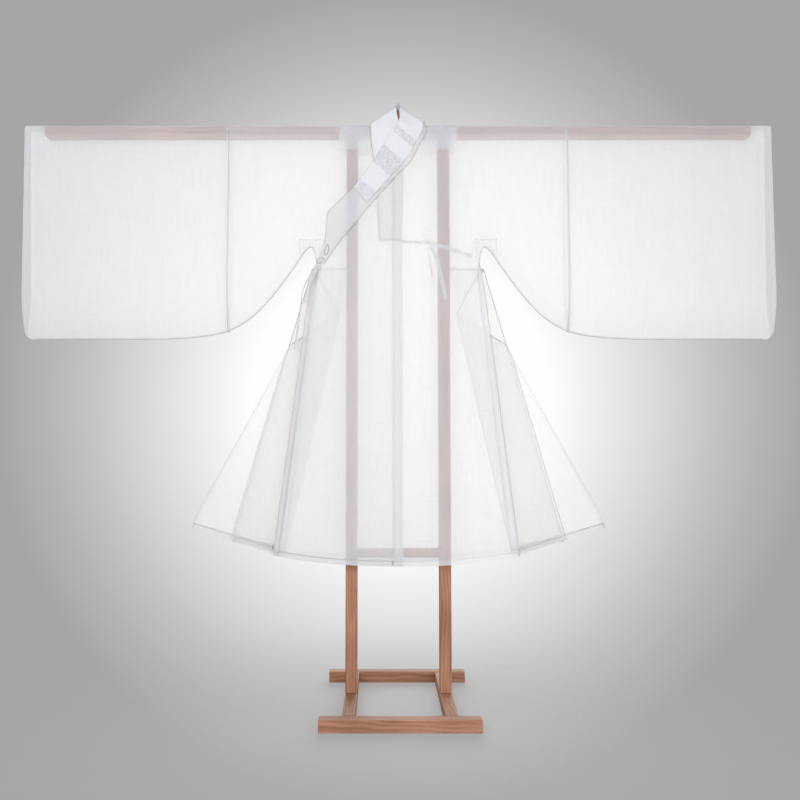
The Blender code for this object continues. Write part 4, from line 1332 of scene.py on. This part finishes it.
class ROBE_OT_facings(bpy.types.Operator):
    """Lay the facings inside the shoulders beside the neck, and sew the underarm patches on"""

    bl_idname = "robe.facings"
    bl_label = "Facings and patches"

    def execute(self, context):
        s = read_settings(context)
        reach = drop(FACING_DROP)

        def facing_surface(x, t, lift=0.0):
            z = HANG_Z - np.maximum(np.abs(t) - HANG_T, 0.0)
            crumple = 0.0005 * np.sin(150 * x + 60 * z) * np.sin(95 * x - 130 * z) * ease((1.69 - z) / 0.03)
            return hang(x, t, lift - CLOTH - GAP + crumple)

        for side, sign in (("left", 1), ("right", -1)):
            corners = ((FACING_INNER, -reach), (FACING_OUTER, -reach),
                (FACING_OUTER, reach), (FACING_INNER, reach))
            outline = [(sign * x, t) for x, t in corners]
            node = f"neck_facing_{side}"
            cloth = cut_sheet(f"{node}_cloth", outline, facing_surface, 0.004,
                finish_of("silk_facing"), node)
            low = [[(sign * x, t) for x in np.linspace(FACING_INNER, FACING_OUTER, 14)]
                for t in (-reach, reach)]
            rows = [(facing_surface, low[0], sign * 0.003, 0.0003),
                (facing_surface, low[1], -sign * 0.003, 0.0003)]
            sewing = stitches(f"{node}_stitches", rows, s, finish_of("thread"))
            edges = [(facing_surface, line, 0.0, 0.0003) for line in low]
            hem = ridges(f"{node}_seams", edges, s.ridge, finish_of("silk_edge"))
            width, length, area = sheet_sizes(outline)

            curve = [(x, z) for x, z in UNDERARM_LINE if x < PATCH_OUTER]
            last = next(tuple(p) for p in reversed(UNDERARM_LINE) if p[0] >= PATCH_OUTER)
            low_z = height_at([last, curve[0]], PATCH_OUTER)
            shape = [(PATCH_INNER, PATCH_TOP), (PATCH_OUTER, PATCH_TOP), (PATCH_OUTER, low_z), *curve]
            shape += [(PATCH_INNER, curve[-1][1])]
            outline = placed(shape, True, sign)

            def patch_surface(x, t, lift=0.0, sign=sign):
                return hang(x, t, 0.0009 + lift + (overlap_lift(x, t) if sign > 0 else 0.0))

            node = f"underarm_patch_{side}"
            cloth = cut_sheet(f"{node}_cloth", outline, patch_surface, 0.004, finish_of("silk_patch"), node)
            edges = placed(
                [(PATCH_OUTER, low_z), (PATCH_OUTER, PATCH_TOP),
                    (PATCH_INNER, PATCH_TOP), (PATCH_INNER, 1.3)],
                True, sign,
            )
            legs = [np.linspace(a, b, 16) for a, b in zip(edges, edges[1:])]
            turned = strips(
                f"{node}_turnings",
                [(patch_surface, leg, 0.0, sign * 0.005, -0.0003) for leg in legs],
                finish_of("silk_patch"),
            )
            sewing = stitches(
                f"{node}_stitches", [(patch_surface, leg, sign * 0.0022, 0.0002) for leg in legs], s,
                finish_of("silk_turning"),
            )
            width, length, area = sheet_sizes(outline)
        return {"FINISHED"}


def grid_surface(grid, out=None):
    """A surface that takes a place across a grid's columns and down its rows, each from 0 to 1."""
    rows, columns = grid.shape[:2]
    out = normals(grid) if out is None else out

    def surface(u, v, lift=0.0):
        r, c = np.clip(v, 0, 1) * (rows - 1), np.clip(u, 0, 1) * (columns - 1)
        r0, c0 = np.minimum(r.astype(int), rows - 2), np.minimum(c.astype(int), columns - 2)
        fr, fc = (r - r0)[:, None], (c - c0)[:, None]

        def mixed(values):
            top = values[r0, c0] * (1 - fc) + values[r0, c0 + 1] * fc
            low = values[r0 + 1, c0] * (1 - fc) + values[r0 + 1, c0 + 1] * fc
            return top * (1 - fr) + low * fr

        return mixed(grid) + mixed(out) * np.asarray(lift).reshape(-1, 1)

    return surface


def grid_area(grid):
    """The area of a grid of points, from the two diagonals of each of its cells."""
    first, second = grid[1:, 1:] - grid[:-1, :-1], grid[1:, :-1] - grid[:-1, 1:]
    return float(np.linalg.norm(np.cross(first, second), axis=-1).sum() / 2)


def band_on_grid(grid, rows, columns, lift):
    """A smaller grid on another: row and column numbers, which need not be whole, and a lift."""
    surface = grid_surface(grid)
    v, u = np.meshgrid(np.array(rows) / (grid.shape[0] - 1),
        np.array(columns) / (grid.shape[1] - 1), indexing="ij")
    points = surface(u.ravel(), v.ravel(), np.full(u.size, lift))
    return points.reshape(*u.shape, 3)


class ROBE_OT_gores(bpy.types.Operator):
    """Fold the four side gores, with their hems and seams"""

    bl_idname = "robe.gores"
    bl_label = "Side gores"

    def execute(self, context):
        s = read_settings(context)
        for side, sign in (("left", 1), ("right", -1)):
            for which in ("front", "back"):
                grid = gore_grid(gore_columns(which, sign), 70, 14)
                rows, columns = grid.shape[:2]
                name = f"gore_{which}_{side}"
                faces = grid_faces(rows, columns)
                cloth = add_mesh(f"{name}_cloth", grid.reshape(-1, 3), faces,
                    finish_of("silk_gore"), name)
                height = np.linalg.norm(grid[-1, :, :] - grid[-2, :, :], axis=1).mean()
                up = rows - 1 - s.hem_turning / height
                hem = band_on_grid(grid, np.linspace(up, rows - 1, 4), range(columns), 0.0004)
                turned = add_mesh(
                    f"{name}_turnings", hem.reshape(-1, 3),
                    grid_faces(4, columns), finish_of("silk_turning"),
                )
                on_gore = grid_surface(grid)
                top, bottom = [(0.0, 0.0), (1.0, 0.0)], 1 - s.hem_turning * 0.92 / (height * (rows - 1))
                sewn = [(on_gore, [(0.0, bottom), (1.0, bottom)], 0.0, -0.0003)]
                lines = [(on_gore, top, 0.0, 0.0), (on_gore, [(1.0, 0.0), (1.0, 1.0)], 0.0, 0.0)]
                if which == "back":
                    spine = 15.0 / (columns - 1)
                    lines.append((on_gore, [(spine, 0.0), (spine, 1.0)], 0.0, 0.0))
                    lines.append((on_gore, [(spine, 0.004), (0.0, 0.30)], 0.0, 0.0))
                else:
                    middle = []
                    for r, row in enumerate(grid[:, :15]):
                        past = [abs(x) - along(MIDDLE_FOLD, z) for x, y, z in row]
                        middle.append((float(np.interp(0.0, past, np.arange(15)))
                            / (columns - 1), r / (rows - 1)))
                    lines.append((on_gore, middle, 0.0, -0.0003))
                lines.append((on_gore, sewn[0][1], 0.0, -0.0003))
                # Seam ridges in a darker tint, which is painted shade of the folded seams
                rolled, wide = ("silk_rolled_painted_shade", 1.4) if which == "back" else ("silk_seam_painted_shade", 0.95)
                ridge = ridges(f"{name}_seams", lines, s.ridge * wide, finish_of(rolled))
                sewing = stitches(f"{name}_stitches", sewn, s, finish_of("thread"))
                area = grid_area(grid)
        return {"FINISHED"}


class ROBE_OT_collar(bpy.types.Operator):
    """Fold the collar round the neck, and lay the guard over its neck edge"""

    bl_idname = "robe.collar"
    bl_label = "Collar and guard"

    def execute(self, context):
        s = read_settings(context)
        steps, columns = 8, 21
        grid = dense_collar(steps, columns)
        out = normals(grid)
        out[:, columns * 2 // 3 :] = out[:, columns * 2 // 3, None]
        outside, within = grid + out * 0.0005, grid - out * 0.0005
        doubled = np.concatenate([outside, within[:, ::-1]], 1)
        cloth = add_mesh(
            "collar_cloth", doubled.reshape(-1, 3), grid_faces(*doubled.shape[:2]), finish_of("silk_collar"),
            "collar",
        )
        band = grid_surface(grid, out)
        stop = 1.0 - 0.002
        reaches = [low_row / (len(grid) - 1)
            for low_row in (GUARD_START * steps, len(grid) - 1 - GUARD_STOP * steps)]
        lines = [(band, [(0.004, 0.001), (0.004, stop)], 0.0, 0.0004)]
        lines += [(band, [(0.996, a), (0.996, b)], 0.0, 0.0004)
            for a, b in ((0.001, reaches[0]), (reaches[1], stop))]
        lines += [(band, [(0.0, v), (1.0, v)], 0.0, 0.0004) for v in (0.002, stop)]
        ridge = ridges("collar_seams", lines, s.ridge * 0.8, finish_of("silk_seam_painted_shade"))
        tip = 1 - 0.012 / float(np.linalg.norm(np.diff(grid[:, 0], axis=0), axis=1).sum())
        rows = [(band, [(0.035, 0.002), (0.035, stop)], 0.0, 0.0007),
            (band, [(0.04, tip), (0.96, tip)], 0.0, 0.0007)]
        sewing = stitches("collar_stitches", rows, s, finish_of("thread"))
        turns = np.linspace(0.0, 2 * math.pi, 25)
        tack = [(0.50 + 0.22 * math.cos(a), 0.972 + 0.010 * math.sin(a)) for a in turns]
        tacks = [(band, tack, 0.0, 0.0009), (band, [(0.2, 0.992), (0.8, 0.992)], 0.0, 0.0009)]
        tacked = ridges("collar_tack", tacks, 0.0015, finish_of("thread_dark"))
        run = float(np.linalg.norm(np.diff(grid[:, columns // 2], axis=0), axis=1).sum())
        wide = float(np.linalg.norm(np.diff(grid[len(grid) // 2], axis=0), axis=1).sum())
        grid_area(doubled)
        low, high = GUARD_START * steps, len(grid) - 1 - GUARD_STOP * steps
        count = high - low + 1
        inset_growth = ease((np.arange(count) / (count - 1) - 0.5) * 2)
        inset = GUARD_INSETS[0] + (GUARD_INSETS[1] - GUARD_INSETS[0]) * inset_growth
        u = inset[:, None] + (1 - inset[:, None]) * np.linspace(0.0, 1.0, columns)
        v = np.repeat(np.arange(low, high + 1)[:, None] / (len(grid) - 1), columns, axis=1)
        bare = band(u.ravel(), v.ravel())
        raised = np.where(bare[:, 2] > NECK_TOP, NECK_GUARD_LIFT, LAYER)
        guard = band(u.ravel(), v.ravel(), raised).reshape(count, columns, 3)
        cover = add_mesh(
            "collar_guard_cloth", guard.reshape(-1, 3),
            grid_faces(*guard.shape[:2]), finish_of("guard_silk"),
            "collar_guard",
        )
        on_guard = grid_surface(guard)
        lines = [(on_guard, [(0.0, 0.0), (0.0, 1.0)], 0.0, 0.0),
            (on_guard, [(0.0, 1.0), (1.0, 1.0)], 0.0, 0.0)]
        edging = ridges("guard_edging", lines, s.ridge * 0.55, finish_of("silk_edge"))
        rows = [(on_guard, [(0.03, 0.01), (0.03, 0.985)], 0.0, 0.0002),
            (on_guard, [(0.03, 0.985), (1.0, 0.985)], 0.0, 0.0002)]
        tacked = stitches("guard_stitches", rows, s, finish_of("thread"))
        run = float(np.linalg.norm(np.diff(guard[:, 0], axis=0), axis=1).sum())
        wide = float(np.linalg.norm(np.diff(guard[len(guard) // 2], axis=0), axis=1).sum())
        grid_area(guard)
        return {"FINISHED"}


def knot_mesh(name, centre, size, node):
    """A pulled knot: a soft lump with the ribbon's turns round it."""
    points, rows, columns = [], 17, 28
    for r in range(rows):
        polar = math.pi * (r + 0.5) / rows
        for c in range(columns):
            turn = 2 * math.pi * c / columns
            shape = np.array([math.sin(polar) * math.cos(turn),
                math.sin(polar) * math.sin(turn), math.cos(polar)])
            wrap = 0.90 + 0.10 * abs(math.sin(4.0 * polar + 1.2 * math.sin(turn) + 0.5)) ** 0.7
            points.append(np.array(centre) + shape * np.array(size) / 2 * wrap)
    faces = []
    for r in range(rows - 1):
        for c in range(columns):
            a, b = r * columns + c, r * columns + (c + 1) % columns
            faces.append((a, b, b + columns, a + columns))
    faces.append(tuple(reversed(range(columns))))
    faces.append(tuple(range((rows - 1) * columns, rows * columns)))
    return add_mesh(name, points, faces, finish_of("silk_ribbon_painted_shade"), node)


class ROBE_OT_ties(bpy.types.Operator):
    """Tie the ribbons outside at the wearer's right and inside at the left"""

    bl_idname = "robe.ties"
    bl_label = "Ties"

    def execute(self, context):
        x, z = OUTER_TIE_KNOT
        clear = OVERLAP + COLLAR_LIFT + (CLOTH + OUTER_TIE_SIZE[1]) / 2 + GAP + OUTER_TIE_SLOPE
        knot_mesh("outer_tie_knot_wrap", on_front(x, z, clear), OUTER_TIE_SIZE, "outer_tie_knot")
        x, back, z = INNER_TIE_KNOT
        knot_mesh("inner_tie_knot_wrap", on_front(x, z, -back), INNER_TIE_SIZE, "inner_tie_knot")
        for node, table in TIES.items():
            width = LOOP_RIBBON if node == "inner_tie_loop" else RIBBON
            if node.startswith("outer"):
                width *= 0.85
            grid = ribbon_grid(table, width)
            rows, columns = grid.shape[:2]
            band = add_mesh(
                f"{node}_ribbon", grid.reshape(-1, 3),
                grid_faces(rows, columns), finish_of("silk_ribbon_painted_shade"),
                node,
            )
        return {"FINISHED"}


class ROBE_OT_stage(bpy.types.Operator):
    """Set the floor, the glowing backdrop, the studio lights and the camera"""

    bl_idname = "robe.stage"
    bl_label = "Stage"

    def execute(self, context):
        scene = context.scene
        count, radius = 96, 1.35
        ring = [(radius * math.cos(2 * math.pi * k / count), radius * math.sin(2 * math.pi * k / count), 0.0)
                for k in range(count)]
        mesh = bpy.data.meshes.new("floor")
        mesh.from_pydata(ring, [], [tuple(range(count))])
        mesh.materials.append(finish_of("floor"))
        floor = bpy.data.objects.new("floor", mesh)
        scene.collection.objects.link(floor)

        world = bpy.data.worlds.new("studio")
        scene.world = world
        world.use_nodes = True
        g = Graph(world.node_tree)
        direction = g.add("ShaderNodeTexCoord", out="Generated")
        facing = g.add(
            "ShaderNodeVectorMath", {"operation": "DOT_PRODUCT"},
            {0: direction, 1: Vector(GLOW_CENTRE).normalized()}, out="Value",
        )
        level = abs(facing).at_least(0.05)
        slope = (1.0 - level * level).at_least(0.0) ** 0.5 / level
        stops = [(slope_at / GLOW_REACH, (grey, grey, grey)) for slope_at, grey in GLOW]
        backdrop = g.add("ShaderNodeValToRGB", {"stops": stops}, {0: slope / GLOW_REACH}, out="Color")
        light = g.add("ShaderNodeBackground", inputs={"Color": backdrop, "Strength": 1.0})
        g.add("ShaderNodeOutputWorld", inputs={"Surface": light})

        for name, place, size, power in (
            ("key", (-1.3, -3.2, 2.4), 2.2, 69.0),
            ("fill", (1.3, -3.1, 1.35), 2.2, 49.0),
            ("back", (0.2, 2.6, 1.15), 2.4, 64.0),
            ("bounce", (0.2, -2.7, 0.25), 1.6, 11.0),
        ):
            lamp = bpy.data.lights.new(name, "AREA")
            lamp.shape = "DISK"
            lamp.size = size
            lamp.energy = power
            obj = bpy.data.objects.new(name, lamp)
            obj.location = place
            light_aim = Vector((0.0, 0.0, 1.0)) - Vector(place)
            obj.rotation_euler = light_aim.to_track_quat("-Z", "Y").to_euler()
            scene.collection.objects.link(obj)

        lens = bpy.data.cameras.new("camera")
        lens.lens = 36.0
        lens.sensor_width = 36.0
        lens.shift_x = CAMERA_SHIFT
        camera = bpy.data.objects.new("camera", lens)
        camera.location = CAMERA_PLACE
        camera.rotation_euler = (math.pi / 2 + CAMERA_PITCH, 0.0, 0.0)
        scene.collection.objects.link(camera)
        scene.camera = camera
        scene.view_settings.view_transform = "Standard"
        return {"FINISHED"}


OPERATORS = (
    ROBE_OT_materials,
    ROBE_OT_stage,
    ROBE_OT_stand,
    ROBE_OT_bodies,
    ROBE_OT_panel,
    ROBE_OT_sleeves,
    ROBE_OT_facings,
    ROBE_OT_gores,
    ROBE_OT_collar,
    ROBE_OT_ties,
)


class ROBE_PT_panel(bpy.types.Panel):
    """The robe's settings and the steps that make it"""

    bl_label = "Robe"
    bl_space_type = "VIEW_3D"
    bl_region_type = "UI"
    bl_category = "Robe"

    def draw(self, context):
        settings = read_settings(context)
        for name in settings.__annotations__:
            self.layout.prop(settings, name)
        for step in OPERATORS:
            self.layout.operator(step.bl_idname)


CLASSES = (RobeSettings, *OPERATORS, ROBE_PT_panel)


def register():
    for cls in CLASSES:
        bpy.utils.register_class(cls)
    bpy.types.Scene.robe_settings = bpy.props.PointerProperty(type=RobeSettings)


def unregister():
    del bpy.types.Scene.robe_settings
    for cls in reversed(CLASSES):
        bpy.utils.unregister_class(cls)


def main():
    register()
    bpy.ops.robe.materials()
    bpy.ops.robe.stage()
    bpy.ops.robe.stand()
    bpy.ops.robe.bodies()
    bpy.ops.robe.panel()
    bpy.ops.robe.sleeves()
    bpy.ops.robe.facings()
    bpy.ops.robe.gores()
    bpy.ops.robe.collar()
    bpy.ops.robe.ties()


if __name__ == "__main__":
    main()
